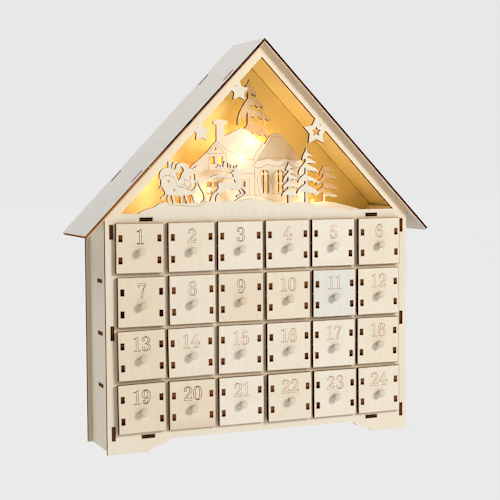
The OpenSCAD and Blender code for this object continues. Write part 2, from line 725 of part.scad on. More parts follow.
// A floor between the walls with two tabs through each long panel
module floor_outline() {
    centred(2 * inner_x, body_d - 2 * ply, [0, mid_y]);
    for (s = [-1, 1]) centred(floor_tab_len, body_d, [s * floor_tab_x, mid_y]);
}

module base_panel() { color(shade_wood) placed() flat_sheet(base_z) floor_outline(); }

module layer_slots(left, right, y) {
    for (t = layer_tab_shares)
        centred(layer_tab_len + 2 * kerf, ply + 2 * kerf, [left + (right - left) * t, y + ply / 2]);
}

module attic_floor() {
    color(shade_wood) placed() flat_sheet(attic_z) difference() {
        floor_outline();
        layer_slots(cottage_left, rear_bank_right, cottage_y);
        layer_slots(tree_bank_left, tree_bank_right, tree_y);
    }
}

// Shelves are slotted from the front and dividers from the back
module shelf(r) {
    color(shade_wood) placed() flat_sheet(shelf_z(r)) difference() {
        union() {
            centred(2 * inner_x, body_d - 2 * ply, [0, mid_y]);
            centred(2 * (inner_x + ply), shelf_tab_len, [0, mid_y]);
            for (s = [-1, 1])
                translate([s * shelf_tab_x - floor_tab_len / 2, mid_y])
                    square([floor_tab_len, body_d - mid_y]);
        }
        for (k = [1:drawer_cols - 1])
            translate([divider_x(k) - ply / 2 - kerf, ply - overrun])
                square([ply + 2 * kerf, mid_y + kerf - ply + overrun]);
    }
}

module divider(k) {
    color(shade_wood) placed() side_sheet(divider_x(k)) difference() {
        translate([ply, base_top]) square([body_d - 2 * ply, attic_under - base_top]);
        for (r = [0:drawer_rows - 2])
            translate([mid_y - kerf, shelf_z(r) - ply / 2 - kerf])
                square([body_d - mid_y, ply + 2 * kerf]);
    }
}

// Strips glued beside each column carry the trays over their whole travel
module runners(r) {
    color(shade_wood) placed() for (c = [0:drawer_cols - 1], s = [-1, 1]) {
        at_wall = (c == 0 && s < 0) || (c == drawer_cols - 1 && s > 0);
        outer = at_wall ? inner_x - abs(column_x(c)) : drawer_pitch / 2 - ply / 2;
        translate([column_x(c) + (s < 0 ? -outer : tray_in_x), ply, row_z(r) + opening_low - ply])
            cube([outer - tray_in_x, body_d - 2 * ply, ply]);
    }
}

// Roof panels lie in their own plane: x down the slope, z outwards
module roof_panel(start) {
    translate([0, 0, ridge_z]) rotate([0, roof_pitch, 0]) linear_extrude(ply) difference() {
        translate([start, -roof_over_front])
            square([roof_len - start, body_d + roof_over_front + roof_over_back]);
        for (u = [gable_tab_high, gable_tab_low], y = [ply / 2, body_d - ply / 2])
            centred(gable_tab_len + 2 * kerf, ply + 2 * kerf, [u, y]);
    }
}

module roof_left() { color(shade_wood) placed() mirror([1, 0, 0]) roof_panel(roof_len - roof_len_left); }
module roof_right() { color(wood) placed() roof_panel(kerf); }

module tray_slots() {
    for (s = [-1, 1], z = tray_tab_zs)
        centred(ply + 2 * kerf, tray_tab_h + 2 * kerf, [s * tray_side_x, z]);
}

module drawer_front() {
    upright_sheet(-ply) difference() {
        centred(front_w, front_w);
        tray_slots();
        translate([0, -knob_drop]) circle(d = knob_peg_d + 2 * glue_gap, $fn = small_fn);
    }
}

module tray_side(side) {
    side_sheet(side * tray_side_x) difference() {
        union() {
            translate([glue_gap, -tray_drop]) square([tray_d - ply - 2 * glue_gap, tray_h]);
            for (z = tray_tab_zs)
                translate([-ply, z - tray_tab_h / 2]) square([tray_d + ply, tray_tab_h]);
        }
        bottom_z = bottom_rise + ply / 2 - tray_drop;
        centred(bottom_tab_len + 2 * kerf, ply + 2 * kerf, [tray_d / 2, bottom_z]);
    }
}

module tray_back() {
    upright_sheet(tray_d - ply) difference() {
        translate([-tray_w / 2, -tray_drop]) square([tray_w, tray_h]);
        tray_slots();
    }
}

module tray_bottom() {
    flat_sheet(bottom_rise + ply / 2 - tray_drop) {
        centred(2 * (tray_in_x - glue_gap), tray_d - ply - 2 * glue_gap, [0, (tray_d - ply) / 2]);
        centred(tray_w, bottom_tab_len, [0, tray_d / 2]);
    }
}

module knob() {
    translate([0, -ply, -knob_drop]) rotate([90, 0, 0]) {
        translate([0, 0, glue_gap]) rotate_extrude($fn = round_fn) polygon(concat(
            [[0, 0]],
            [for (p = knob_shares) [p.x * knob_d / 2, p.y * (knob_len - glue_gap)]]
        ));
        translate([0, 0, -ply]) cylinder(d = knob_peg_d, h = ply + 2 * glue_gap, $fn = small_fn);
    }
}

module drawer(n) {
    roll = roll_max * roll_shares[n - 1];
    lift = tray_w / 2 * abs(sin(roll));
    at = [
        column_x(drawer_col(n)) + side_max * side_shares[n - 1],
        -pull_max * pull_shares[n - 1],
        row_z(drawer_row(n)) + lift
    ];
    placed() translate(at) rotate([0, roll, 0]) {
        color(wood) drawer_front();
        color(shade_wood) {
            tray_side(-1);
            tray_side(1);
            tray_back();
            tray_bottom();
        }
        color(knob_wood) knob();
    }
}

function bank(left, w, h, shares) =
    concat([[left + w, attic_top], [left, attic_top]], spread(shares, [left, attic_top], w, h));

function layer_tab(left, w, t) = let (x = left + w * t, l = layer_tab_len / 2) [
    [x - l, attic_under], [x + l, attic_under], [x + l, attic_top + overrun], [x - l, attic_top + overrun]
];

function in_cottage(q) = [cottage_left + q.x * cottage_w, attic_top + q.y * cottage_h];

module lower_window() {
    difference() {
        centred(lower_window_w, lower_window_h);
        centred(lower_window_w + overrun, window_bar);
    }
}

module arch_window(panes) {
    arch_r = arch_window_w / 2;
    straight = arch_window_h - arch_r;
    difference() {
        union() {
            centred(arch_window_w, straight, [0, straight / 2]);
            translate([0, straight]) circle(r = arch_r, $fn = small_fn);
        }
        centred(window_bar, 2 * arch_window_h, [0, arch_window_h / 2]);
        for (k = [1:panes - 1])
            centred(arch_window_w + overrun, window_bar, [0, straight * k / (panes - 1)]);
    }
}

module cottage_windows() {
    translate(in_cottage(loft_window_shares)) circle(d = loft_window_d, $fn = small_fn);
    for (q = upper_window_shares) translate(in_cottage(q)) centred(upper_window_w, upper_window_h);
    for (q = lower_window_shares) translate(in_cottage(q)) lower_window();
    for (k = [0, 1]) translate(in_cottage(arch_window_shares[k])) arch_window(arch_window_panes[k]);
}

// Stack and domed cap
chimney_outlines =
    let (root = in_cottage([chimney_share, chimney_root_share]), half = [chimney_w / 2, 0])
    let (cap = in_cottage([chimney_share, chimney_top_share]) - [0, chimney_cap_h / 2])
    [
        [root - half, root + half, cap + half, cap - half],
        [for (a = [0:20:340]) cap + [cos(a) * chimney_cap_w, sin(a) * chimney_cap_h] / 2]
    ];

module cottage_layer() {
    side_fir_at = in_cottage([side_fir_share, 0]) + [0, rear_bank_h * side_fir_root_share];
    color(wood) placed() upright(cottage_y) {
        linear_extrude(ply) difference() {
            polygon([for (q = cottage_shares) in_cottage(q)]);
            cottage_windows();
        }
        cut_outs(concat(
            chimney_outlines,
            [bank(cottage_right - overrun, rear_bank_w + overrun, rear_bank_h, rear_bank_shares)],
            fir(side_fir_at, side_fir_h, side_right_shares, side_left_shares, side_trunk_shares),
            [for (t = layer_tab_shares) layer_tab(cottage_left, rear_bank_right - cottage_left, t)]
        ));
    }
}

module tree_layer() {
    color(shade_wood) placed() upright(tree_y) cut_outs(concat(
        [bank(tree_bank_left, tree_bank_w, tree_bank_h, tree_bank_shares)],
        fir([tall_fir_x, attic_top + tree_root], tall_fir_h - tree_root, tall_right_shares, tall_left_shares,
            tall_trunk_shares),
        [for (t = layer_tab_shares) layer_tab(tree_bank_left, tree_bank_w, t)]
    ));
}

// Route of the wire, smoothed between its points
function wire_at(i) = wire_points[max(0, min(i, len(wire_points) - 1))];
function wire_point(i, t) =
    let (a = wire_at(i - 1), b = wire_at(i), c = wire_at(i + 1), d = wire_at(i + 2))
    0.5 * (2 * b + (c - a) * t + (2 * a - 5 * b + 4 * c - d) * t * t + (3 * b - a - 3 * c + d) * t * t * t);
wire_route = concat(
    [for (i = [0:len(wire_points) - 2], k = [0:wire_steps - 1]) wire_point(i, k / wire_steps)],
    [wire_points[len(wire_points) - 1]]
);
function wire_ring(i) =
    let (
        last = len(wire_route) - 1,
        along = unit(wire_route[min(i + 1, last)] - wire_route[max(i - 1, 0)]),
        across = unit(cross(along, wire_sway)),
        other = cross(across, along)
    )
    [for (k = [0:wire_sides - 1])
        let (a = 360 * k / wire_sides) wire_route[i] + wire_d / 2 * (cos(a) * across + sin(a) * other)];

module light_wire() {
    last = len(wire_route) - 1;
    n = wire_sides;
    color(white_plastic) placed() polyhedron(
        points = [for (i = [0:last]) each wire_ring(i)],
        faces = concat(
            [for (k = [1:n - 2]) [0, k, k + 1]],
            [for (k = [1:n - 2]) [last * n, last * n + k + 1, last * n + k]],
            [for (i = [0:last - 1], k = [0:n - 1]) [i * n + k, (i + 1) * n + k, i * n + (k + 1) % n]],
            [for (i = [0:last - 1], k = [0:n - 1])
                [i * n + (k + 1) % n, (i + 1) * n + k, (i + 1) * n + (k + 1) % n]]
        )
    );
}

module lamps() {
    color(lamp_glow) placed() for (i = lamp_points) translate(wire_points[i])
    rotate_extrude($fn = small_fn) {
        square([lamp_d / 2, lamp_len - lamp_d / 2 - wire_d]);
        translate([0, -wire_d]) square([lamp_d / 2, wire_d + glue_gap]);
        intersection() {
            translate([0, lamp_len - lamp_d / 2 - wire_d]) circle(d = lamp_d, $fn = small_fn);
            square([lamp_d, lamp_len]);
        }
    }
}

module battery_case() {
    bay_h = case_h - 2 * case_wall;
    mouth_h = bay_h - 2 * lid_groove;
    lid_low_y = lid_back_y - lid_t - lid_fit;
    color(white_plastic) placed() difference() {
        translate([case_left, case_front_y, case_low]) cube([case_l, case_d, case_h]);
        // room for the two cells and the lid
        translate([case_left + case_wall, case_front_y + case_wall, case_low + case_wall])
            cube([bay_wall_x - case_left - 2 * case_wall, lid_back_y - case_front_y - case_wall, bay_h]);
        // groove through the left end, where the lid slides out
        translate([case_left - overrun, lid_low_y, case_low + case_wall])
            cube([case_wall + 2 * overrun, lid_back_y - lid_low_y, bay_h]);
        // mouth between the lips that hold the lid
        translate([case_left - overrun, lid_low_y, case_low + case_wall + lid_groove])
            cube([bay_wall_x - case_left - case_wall + overrun, case_d, mouth_h]);
        // bay and slot of the switch
        translate([bay_wall_x, case_front_y + case_wall, case_low + case_wall])
            cube([switch_bay_w - case_wall, case_d - 2 * case_wall, bay_h]);
        translate([switch_x, 0, 0]) switch_slot(case_face_y - case_wall - overrun, case_wall + 2 * overrun);
        // hole for the wire in the top
        translate([wire_points[0].x, wire_points[0].y, case_high - case_wall - overrun])
            cylinder(d = wire_hole_d, h = case_wall + 2 * overrun, $fn = small_fn);
    }
}

// Room that the slider sweeps, with its margin, from y over a depth
module switch_slot(y, depth) {
    translate([-switch_knob_w / 2 - slot_margin, y, switch_z - switch_knob_h / 2 - slot_margin])
        cube([switch_knob_w + 2 * slot_margin, depth, switch_knob_h + switch_travel + 2 * slot_margin]);
}

module battery_lid() {
    lid_h = case_h - 2 * case_wall;
    lid_l = bay_wall_x - case_left - case_wall;
    lid_y = lid_back_y - lid_t;
    grip_y = lid_back_y - glue_gap;
    color(white_plastic) placed() {
        translate([case_left, lid_y, case_low + case_wall]) cube([lid_l, lid_t, lid_h]);
        for (k = [0:lid_grips - 1])
            translate([case_left + lid_grip_inset + k * lid_grip_pitch, grip_y, cells_z - lid_grip_h / 2])
                cube([lid_grip_w, lid_grip_rise + glue_gap, lid_grip_h]);
    }
}

module batteries() {
    cells_x = (case_left + bay_wall_x) / 2;
    color(cell_skin) placed() for (s = [-1, 1])
        translate([cells_x, cells_y, cells_z + s * cell_pitch / 2]) rotate([0, s * 90, 0]) {
            translate([0, 0, -cell_l / 2]) cylinder(d = cell_d, h = cell_l - cell_nub_l, $fn = round_fn);
            translate([0, 0, cell_l / 2 - cell_nub_l - glue_gap])
                cylinder(d = cell_nub_d, h = cell_nub_l + glue_gap, $fn = small_fn);
        }
}

module battery_contacts() {
    bay_left = case_left + case_wall;
    bay_right = bay_wall_x - case_wall;
    reach = cell_end_gap - cell_air;
    color(steel) placed() for (s = [-1, 1], e = [-1, 1]) {
        at = e < 0 ? bay_left : bay_right;
        translate([at, cells_y, cells_z + s * cell_pitch / 2]) rotate([0, -e * 90, 0]) {
            translate([-contact_w / 2, -contact_w / 2, 0]) cube([contact_w, contact_w, contact_t]);
            cylinder(d = spring_d, h = reach, $fn = small_fn);
        }
    }
}

module switch_body() {
    face_y = case_face_y - case_wall - glue_gap;
    color(steel) placed() translate([switch_x, 0, 0]) difference() {
        translate([-switch_w / 2, face_y - switch_d, switch_z + (switch_travel - switch_h) / 2])
            cube([switch_w, switch_d, switch_h]);
        switch_slot(face_y - switch_slot_d, switch_slot_d + overrun);
    }
}

module switch_slider() {
    slider_y = case_face_y - case_wall - glue_gap - switch_slot_d + slot_margin;
    color(steel) placed() translate([switch_x - switch_knob_w / 2, slider_y, switch_z - switch_knob_h / 2])
        cube([switch_knob_w, case_face_y + switch_knob_rise - slider_y, switch_knob_h]);
}

front_panel();
back_panel();
left_wall();
right_wall();
base_panel();
attic_floor();
roof_left();
roof_right();
for (n = [1:drawer_rows - 1]) shelf(n - 1);
for (n = [1:drawer_cols - 1]) divider(n);
for (n = [1:drawer_rows]) runners(n - 1);
for (n = [1:drawer_count]) drawer(n);
cottage_layer();
tree_layer();
light_wire();
lamps();
battery_case();
battery_lid();
batteries();
battery_contacts();
switch_body();
switch_slider();
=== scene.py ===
# Looks for the wooden advent calendar house. Lengths are millimetres until they meet Blender.
import math

import bpy
from mathutils import Matrix, Vector


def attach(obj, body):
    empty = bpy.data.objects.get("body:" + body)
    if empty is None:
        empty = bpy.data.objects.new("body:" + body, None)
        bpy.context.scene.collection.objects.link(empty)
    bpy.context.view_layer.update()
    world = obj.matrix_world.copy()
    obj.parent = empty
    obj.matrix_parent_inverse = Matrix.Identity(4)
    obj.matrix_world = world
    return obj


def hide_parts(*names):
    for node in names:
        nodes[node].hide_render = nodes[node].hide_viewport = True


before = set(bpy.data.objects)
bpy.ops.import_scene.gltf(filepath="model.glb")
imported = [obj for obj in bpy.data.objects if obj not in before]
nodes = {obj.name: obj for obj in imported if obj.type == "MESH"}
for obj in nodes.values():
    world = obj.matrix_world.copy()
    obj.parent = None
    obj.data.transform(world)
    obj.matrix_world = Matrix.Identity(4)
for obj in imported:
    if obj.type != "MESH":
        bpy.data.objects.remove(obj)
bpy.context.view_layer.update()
scene = bpy.context.scene
mm = 0.001

# The house was measured from its front face; the frame's origin is under the middle of its box
house = {"frontY": -28.85, "ply": 3.0, "roofPitch": 46.0, "ridgeZ": 365.73, "atticTop": 209.3}
front, slope = house["frontY"], math.radians(house["roofPitch"])
print("frame loaded:", len(nodes), "nodes")


# Small helpers
def frontPoint(x, y, z):
    # a point given from the middle of the house front, in the scene's metres
    return Vector((x * mm, (y + front) * mm, z * mm))


def selectOnly(*objects):
    bpy.ops.object.select_all(action="DESELECT")
    for obj in objects:
        obj.select_set(True)
        bpy.context.view_layer.objects.active = objects[0]


def newObject(name, data):
    made = bpy.data.objects.new(name, data)
    scene.collection.objects.link(made)
    return made


def asMesh(name, curve):
    made = newObject(name, curve)
    selectOnly(made)
    bpy.ops.object.convert(target="MESH")
    return bpy.context.object


def pick(obj, parts, wanted, kind):
    # edit mode, with only the wanted edges or faces selected
    bpy.ops.object.mode_set(mode="EDIT")
    bpy.ops.mesh.select_all(action="DESELECT")
    bpy.ops.object.mode_set(mode="OBJECT")
    for part in getattr(obj.data, parts):
        part.select = wanted(part)
    bpy.ops.object.mode_set(mode="EDIT")
    bpy.ops.mesh.select_mode(type=kind)


def srgb(text):
    # a hex tone as the linear colour that a socket takes
    parts = [int(text[i:i + 2], 16) / 255 for i in (1, 3, 5)]
    return tuple(c / 12.92 if c <= 0.04045 else ((c + 0.055) / 1.055) ** 2.4 for c in parts) + (1.0,)


def feed(tree, made, feeds):
    # links the sockets that are given and sets the plain values
    for key, value in feeds.items():
        if isinstance(value, bpy.types.NodeSocket):
            tree.links.new(value, made.inputs[key])
        else:
            made.inputs[key].default_value = value
    return made


def add(tree, kind, feeds=None, **settings):
    made = tree.nodes.new(kind)
    for key, value in settings.items():
        setattr(made, key, value)
    return feed(tree, made, feeds or {})


def calc(tree, operation, *values, clamp=False):
    return add(tree, "ShaderNodeMath", dict(enumerate(values)), operation=operation, use_clamp=clamp).outputs[0]


def times(tree, first, second):
    return calc(tree, "MULTIPLY", first, second)


def plus(tree, total, value, share=1.0):
    return calc(tree, "MULTIPLY_ADD", value, share, total)


def minus(tree, first, second, clamp=False):
    return calc(tree, "SUBTRACT", first, second, clamp=clamp)


def larger(tree, first, second):
    return calc(tree, "MAXIMUM", first, second)


def smaller(tree, first, second):
    return calc(tree, "MINIMUM", first, second)


def absolute(tree, value):
    return calc(tree, "ABSOLUTE", value)


def dot(tree, vector, direction):
    return add(tree, "ShaderNodeVectorMath", {0: vector, 1: direction}, operation="DOT_PRODUCT").outputs["Value"]


def stretch(tree, vector, scale):
    return add(tree, "ShaderNodeVectorMath", {0: vector, 1: scale}, operation="MULTIPLY").outputs[0]


def shifted(tree, vector, amount):
    return add(tree, "ShaderNodeVectorMath", {0: vector, 1: amount}, operation="ADD").outputs[0]


def separate(tree, vector):
    return add(tree, "ShaderNodeSeparateXYZ", {0: vector}).outputs


def combine(tree, x, y, z):
    return add(tree, "ShaderNodeCombineXYZ", {0: x, 1: y, 2: z}).outputs[0]


def ease(tree, value, low, high, toLow=0.0, toHigh=1.0):
    return add(tree, "ShaderNodeMapRange", {0: value, 1: low, 2: high, 3: toLow, 4: toHigh},
               interpolation_type="SMOOTHSTEP").outputs[0]


def fade(tree, length, low, high, toLow=0.0, toHigh=1.0):
    # the same between two lengths in millimetres
    return ease(tree, length, low * mm, high * mm, toLow, toHigh)


def choose(tree, mask, first, second):
    return add(tree, "ShaderNodeMix", {0: mask, 2: first, 3: second}).outputs[0]


def blendColours(tree, factor, first, second, blending="MIX"):
    return add(tree, "ShaderNodeMix", {0: factor, 6: first, 7: second}, data_type="RGBA",
               blend_type=blending).outputs[2]


def noise(tree, vector, scale, detail=2.0, roughness=0.5, distortion=0.0):
    # three scales stretch the pattern along the axes
    if isinstance(scale, tuple):
        vector, scale = stretch(tree, vector, scale), 1.0
    return add(tree, "ShaderNodeTexNoise", {"Vector": vector, "Scale": scale, "Detail": detail,
               "Roughness": roughness, "Distortion": distortion}).outputs["Fac"]


def newGroup(name, takes, gives):
    # a shader node group with its sockets named by kind; returns its tree, its inputs and its output node
    tree = bpy.data.node_groups.new(name, "ShaderNodeTree")
    for side, sockets in (("INPUT", takes), ("OUTPUT", gives)):
        for kind, labels in sockets.items():
            for label in labels.split():
                tree.interface.new_socket(name=label, in_out=side, socket_type=kind)
    return tree, tree.nodes.new("NodeGroupInput").outputs, tree.nodes.new("NodeGroupOutput")


def place(tree, group, **feeds):
    return add(tree, "ShaderNodeGroup", feeds, node_tree=group).outputs


def startMaterial(name):
    # returns the material, its tree, its shader and the object's own coordinates
    made = bpy.data.materials.new(name)
    made.use_nodes = True
    tree = made.node_tree
    return made, tree, tree.nodes["Principled BSDF"], add(tree, "ShaderNodeTexCoord").outputs["Object"]


def relief(tree, shader, height, strength, depth):
    bump = add(tree, "ShaderNodeBump", {"Height": height, "Strength": strength, "Distance": depth * mm})
    feed(tree, shader, {"Normal": bump.outputs[0]})


def dress(nodeName, material):
    obj = nodes[nodeName]
    obj.data.materials.clear()
    obj.data.materials.append(material)


# Shared shader groups
number, point, colour = "NodeSocketFloat", "NodeSocketVector", "NodeSocketColor"

# How far a point lies outside a flat rectangle, in metres; below zero inside it
rectangle, takes, gives = newGroup("rectangleDistance", {number: "X Y HalfX HalfY"}, {number: "Distance"})
overX, overY = [minus(rectangle, absolute(rectangle, takes[k]), takes["Half" + k]) for k in "XY"]
outX, outY = larger(rectangle, overX, 0.0), larger(rectangle, overY, 0.0)
outside = calc(rectangle, "SQRT", plus(rectangle, times(rectangle, outX, outX), outY, outY))
inside = smaller(rectangle, larger(rectangle, overX, overY), 0.0)
feed(rectangle, gives, {"Distance": plus(rectangle, outside, inside)})

# How far a point lies under the roof panels, square to their slope
roofDepth, takes, gives = newGroup("underRoof", {point: "Vector"}, {number: "Depth"})
x, y, z = separate(roofDepth, takes["Vector"])
fall = plus(roofDepth, minus(roofDepth, house["ridgeZ"] * mm, z), absolute(roofDepth, x), -math.tan(slope))
feed(roofDepth, gives, {"Depth": times(roofDepth, fall, math.cos(slope))})

# Pale basswood: X of the vector runs along the grain, Z through the sheet. Each layer has its share of
# the shade, its stretch, detail, roughness and distortion.
basswood = {"layers": {"streaks": (0.42, (11, 240, 160), 3.0, 0.55, 0.3), "bands": (0.38, (4.5, 46, 30), 2.0, 0.5, 0.8),
                       "fibres": (0.22, (45, 1500, 900), 3.0, 0.6)},
            "rings": (2.2, 34, 12), "ringShare": 0.12, "clouds": (16, 24, 20), "pores": (130, 3600, 2400),
            "poreTone": "#b08c62", "poreShare": 0.22, "seedShift": (0.731, 0.377, 0.213)}
figure, takes, gives = newGroup("basswoodFigure", {point: "Vector", number: "Seed", colour: "Light Deep Warm"},
                                {colour: "Color", number: "Height Roughness"})
moved = shifted(figure, takes["Vector"],
                combine(figure, *[times(figure, takes["Seed"], share) for share in basswood["seedShift"]]))
grown, shade = {}, 0.0
for label, (share, *form) in basswood["layers"].items():
    grown[label] = noise(figure, moved, *form)
    shade = plus(figure, shade, grown[label], share)
rings = add(figure, "ShaderNodeTexWave", {"Vector": stretch(figure, moved, basswood["rings"]), "Scale": 1.3,
            "Distortion": 5.0, "Detail": 2.0, "Detail Scale": 0.8}, wave_type="BANDS", bands_direction="Y",
            wave_profile="SAW").outputs["Fac"]
shade = ease(figure, plus(figure, shade, rings, basswood["ringShare"]), 0.36, 0.84, 0.1, 0.65)
clouds = noise(figure, moved, basswood["clouds"], 1.0)
pores = ease(figure, noise(figure, moved, basswood["pores"], 1.0), 0.64, 0.76)
tone = blendColours(figure, shade, takes["Light"], takes["Deep"])
tone = blendColours(figure, ease(figure, clouds, 0.42, 0.72, 0.0, 0.6), tone, takes["Warm"])
tone = blendColours(figure, times(figure, pores, basswood["poreShare"]), tone, srgb(basswood["poreTone"]))
raised = plus(figure, times(figure, grown["fibres"], 0.5), grown["streaks"], 0.5)
feed(figure, gives, {"Color": tone, "Height": plus(figure, raised, pores, -0.8),
                     "Roughness": ease(figure, grown["fibres"], 0.3, 0.7, 0.55, 0.72)})

# A laser-cut edge: dark at both faces, browner in the middle plies, striped through the sheet
scorch = {"stripes": (1700, 1700, 160), "patches": (95, 95, 95), "patchLevel": 0.62,
          "core": (0.25, 0.95), "coreShare": 0.6, "stripeShare": 0.45}
burnt, takes, gives = newGroup("burntEdge", {point: "Vector", number: "Across Bite", colour: "Char Toast"},
                               {colour: "Color", number: "Height"})
stripes = noise(burnt, takes["Vector"], scorch["stripes"], 2.0, 0.6)
patches = noise(burnt, takes["Vector"], scorch["patches"])
core = ease(burnt, absolute(burnt, takes["Across"]), *scorch["core"], 1.0, 0.0)
warmth = plus(burnt, times(burnt, core, scorch["coreShare"]), stripes, scorch["stripeShare"])
warmth = plus(burnt, warmth, minus(burnt, patches, scorch["patchLevel"]))
warmth = calc(burnt, "ADD", warmth, minus(burnt, 0.5, takes["Bite"]), clamp=True)
feed(burnt, gives, {"Color": blendColours(burnt, warmth, takes["Char"], takes["Toast"]), "Height": stripes})

# One laser-cut board: pale face, its tinted part (on some sheets painted shade and painted lamp glow), smoke with
# painted shade beside the cuts, burnt edges with a few pale chips
wood = {"light": "#f6edda", "deep": "#eee1ca", "warm": "#f5e7d1", "char": "#27110a", "toast": "#84502c",
        "bite": 0.5, "tinted": 0.0, "tint": (1, 1, 1, 1), "relief": 0.5, "grainRelief": 0.06,
        "smoke": "#8a5a33", "smokeWaves": (260, 260, 260), "smokeReach": 2.16, "cutTurn": (0.80, 0.90),
        "chipWaves": (210, 210, 90), "chips": (0.74, 0.78)}
board, takes, gives = newGroup("laserCutWood", {point: "Grain Edge",
    number: "Seed Across Bite Cut Chips Smoke Tinted", colour: "Light Deep Warm Char Toast Tint"},
    {colour: "Color", number: "Height Roughness"})
face = place(board, figure, Vector=takes["Grain"], **{k: takes[k] for k in ("Seed", "Light", "Deep", "Warm")})
edge = place(board, burnt, Vector=takes["Edge"], **{k: takes[k] for k in ("Across", "Char", "Toast", "Bite")})
tone = blendColours(board, takes["Tinted"], face["Color"], takes["Tint"], "MULTIPLY")
# laser smoke and painted shade, in one brown tone
tone = blendColours(board, takes["Smoke"], tone, srgb(wood["smoke"]))
charred = times(board, takes["Cut"], minus(board, 1.0, takes["Chips"]))
feed(board, gives, {"Color": blendColours(board, charred, tone, edge["Color"]),
                    "Roughness": choose(board, charred, face["Roughness"], 0.82),
                    "Height": choose(board, charred, face["Height"], edge["Height"])})

# A thin line drawn by the laser, broken by lighter and darker burns
scorched, takes, gives = newGroup("scorchedDrawing", {point: "Vector", colour: "Pale Dark"},
                                  {colour: "Color", number: "Height"})
broad = ease(scorched, noise(scorched, takes["Vector"], 170.0), 0.38, 0.66)
fine = ease(scorched, noise(scorched, takes["Vector"], 900.0), 0.42, 0.62)
amount = plus(scorched, times(scorched, broad, 0.7), fine, 0.3)
feed(scorched, gives, {"Color": blendColours(scorched, amount, takes["Pale"], takes["Dark"]), "Height": fine})

# Moulded plastic with a fine peel and a slightly cloudy tone
moulded, takes, gives = newGroup("mouldedPlastic", {point: "Vector", number: "Gloss", colour: "Tone Shade"},
                                 {colour: "Color", number: "Height Roughness"})
cloudy = ease(moulded, noise(moulded, takes["Vector"], 60.0, 3.0), 0.35, 0.7)
dull = ease(moulded, cloudy, 0.0, 1.0, takes["Gloss"], plus(moulded, takes["Gloss"], 0.12))
feed(moulded, gives, {"Color": blendColours(moulded, cloudy, takes["Tone"], takes["Shade"]), "Roughness": dull,
                      "Height": noise(moulded, takes["Vector"], 1400.0)})
print("shader groups built")


# Plywood sheets
def finishWood(tree, shader, look, **feeds):
    look = {**wood, **look}
    feeds.update({k.capitalize(): srgb(look[k]) for k in ("light", "deep", "warm", "char", "toast")})
    feeds.update({k.capitalize(): look[k] for k in ("seed", "bite", "tinted", "tint")})
    skin = place(tree, board, **feeds)
    feed(tree, shader, {"Base Color": skin["Color"], "Roughness": skin["Roughness"], "Specular IOR Level": 0.15})
    relief(tree, shader, skin["Height"], look["relief"], look["grainRelief"])


def smokeNear(tree, distance, grain, reach):
    # smoke that thins out with the distance from a cut, further at some spots than at others
    waver = noise(tree, grain, wood["smokeWaves"])
    return minus(tree, 1.0, calc(tree, "DIVIDE", distance, times(tree, waver, reach * mm)), clamp=True)


# The lower plies of a roof's front edge are left pale, and a fine line of painted shade closes them at the roof's
# underside
roofEdge = {"facing": (0.6, 0.8), "soft": 0.15, "kept": -0.88, "line": (-0.55, -0.1), "lineSmoke": 0.3}


def paleRoofEdge(tree, normal, under, start, cut, smoke):
    facing = ease(tree, dot(tree, normal, attic["inFront"]), *roofEdge["facing"])
    pale = times(tree, facing, fade(tree, under, start - roofEdge["soft"], start + roofEdge["soft"]))
    line = times(tree, facing, fade(tree, under, *roofEdge["line"], 0.0, roofEdge["lineSmoke"]))
    return times(tree, cut, plus(tree, 1.0, pale, roofEdge["kept"])), larger(tree, smoke, line)


# The front is painted with warm shade in the gaps between the drawers and under the roof's overhang, and with painted
# shade and laser smoke close to each opening
drawerGrid = {"pitch": 47.4, "topRow": 182.5, "half": 20.5, "smoke": 0.2, "reach": (1.0, 2.6), "rim": (-0.4, 0.6),
              "underRoof": (1.5, 9.0), "tint": (1.0, 0.90, 0.79, 1.0)}


def gridMarks(tree, px, pz, under, smoke):
    pitch, top = drawerGrid["pitch"] * mm, drawerGrid["topRow"] * mm
    foldX = minus(tree, calc(tree, "PINGPONG", px, pitch / 2), pitch / 2)
    foldZ = minus(tree, calc(tree, "FLOORED_MODULO", minus(tree, pz, top - pitch * 3.5), pitch), pitch / 2)
    half = drawerGrid["half"] * mm
    away = place(tree, rectangle, X=foldX, Y=foldZ, HalfX=half, HalfY=half)["Distance"]
    whole = place(tree, rectangle, X=px, Y=minus(tree, pz, top - pitch * 1.5), HalfX=pitch * 3, HalfY=pitch * 2)
    inGrid = fade(tree, whole["Distance"], *drawerGrid["rim"], 1.0, 0.0)
    near = times(tree, inGrid, fade(tree, away, *drawerGrid["reach"], drawerGrid["smoke"], 0.0))
    return larger(tree, smoke, near), larger(tree, inGrid, fade(tree, under, *drawerGrid["underRoof"], 1.0, 0.0))


# A fine dark line runs along the back just under the roof, and the strips of it that stand out past the side walls are
# darkened with painted shade
backSeam = {"depth": (0.2, 0.8), "smoke": 0.85, "sides": (145.7, 146.0), "sideShade": 0.34}

# A darker brown tone on the domed gable, bounded by the scalloped snow edge and weaker towards its lower left, and
# painted shade on the fir that stands behind
dome = {"waves": 330.0, "waveHeight": 1.1, "snow": (259.0, 260.6), "verge": (17.2, 18.2), "vergeTop": 282.6,
        "lean": 0.62, "light": (155.0, 205.0), "lightLean": 0.6, "least": 0.45, "firX": (58.5, 59.0),
        "firZ": (224.0, 230.0), "tint": (0.71, 0.52, 0.31, 1.0)}


def domeShade(tree, px, pz):
    wave = calc(tree, "SINE", times(tree, px, dome["waves"]))
    over = fade(tree, plus(tree, pz, wave, dome["waveHeight"] * mm), *dome["snow"])
    beside = fade(tree, plus(tree, px, minus(tree, dome["vergeTop"] * mm, pz), dome["lean"]), *dome["verge"])
    depth = fade(tree, plus(tree, px, pz, dome["lightLean"]), *dome["light"], dome["least"], 1.0)
    fir = times(tree, fade(tree, px, *dome["firX"]), fade(tree, pz, *dome["firZ"]))
    return larger(tree, times(tree, times(tree, over, beside), depth), fir)


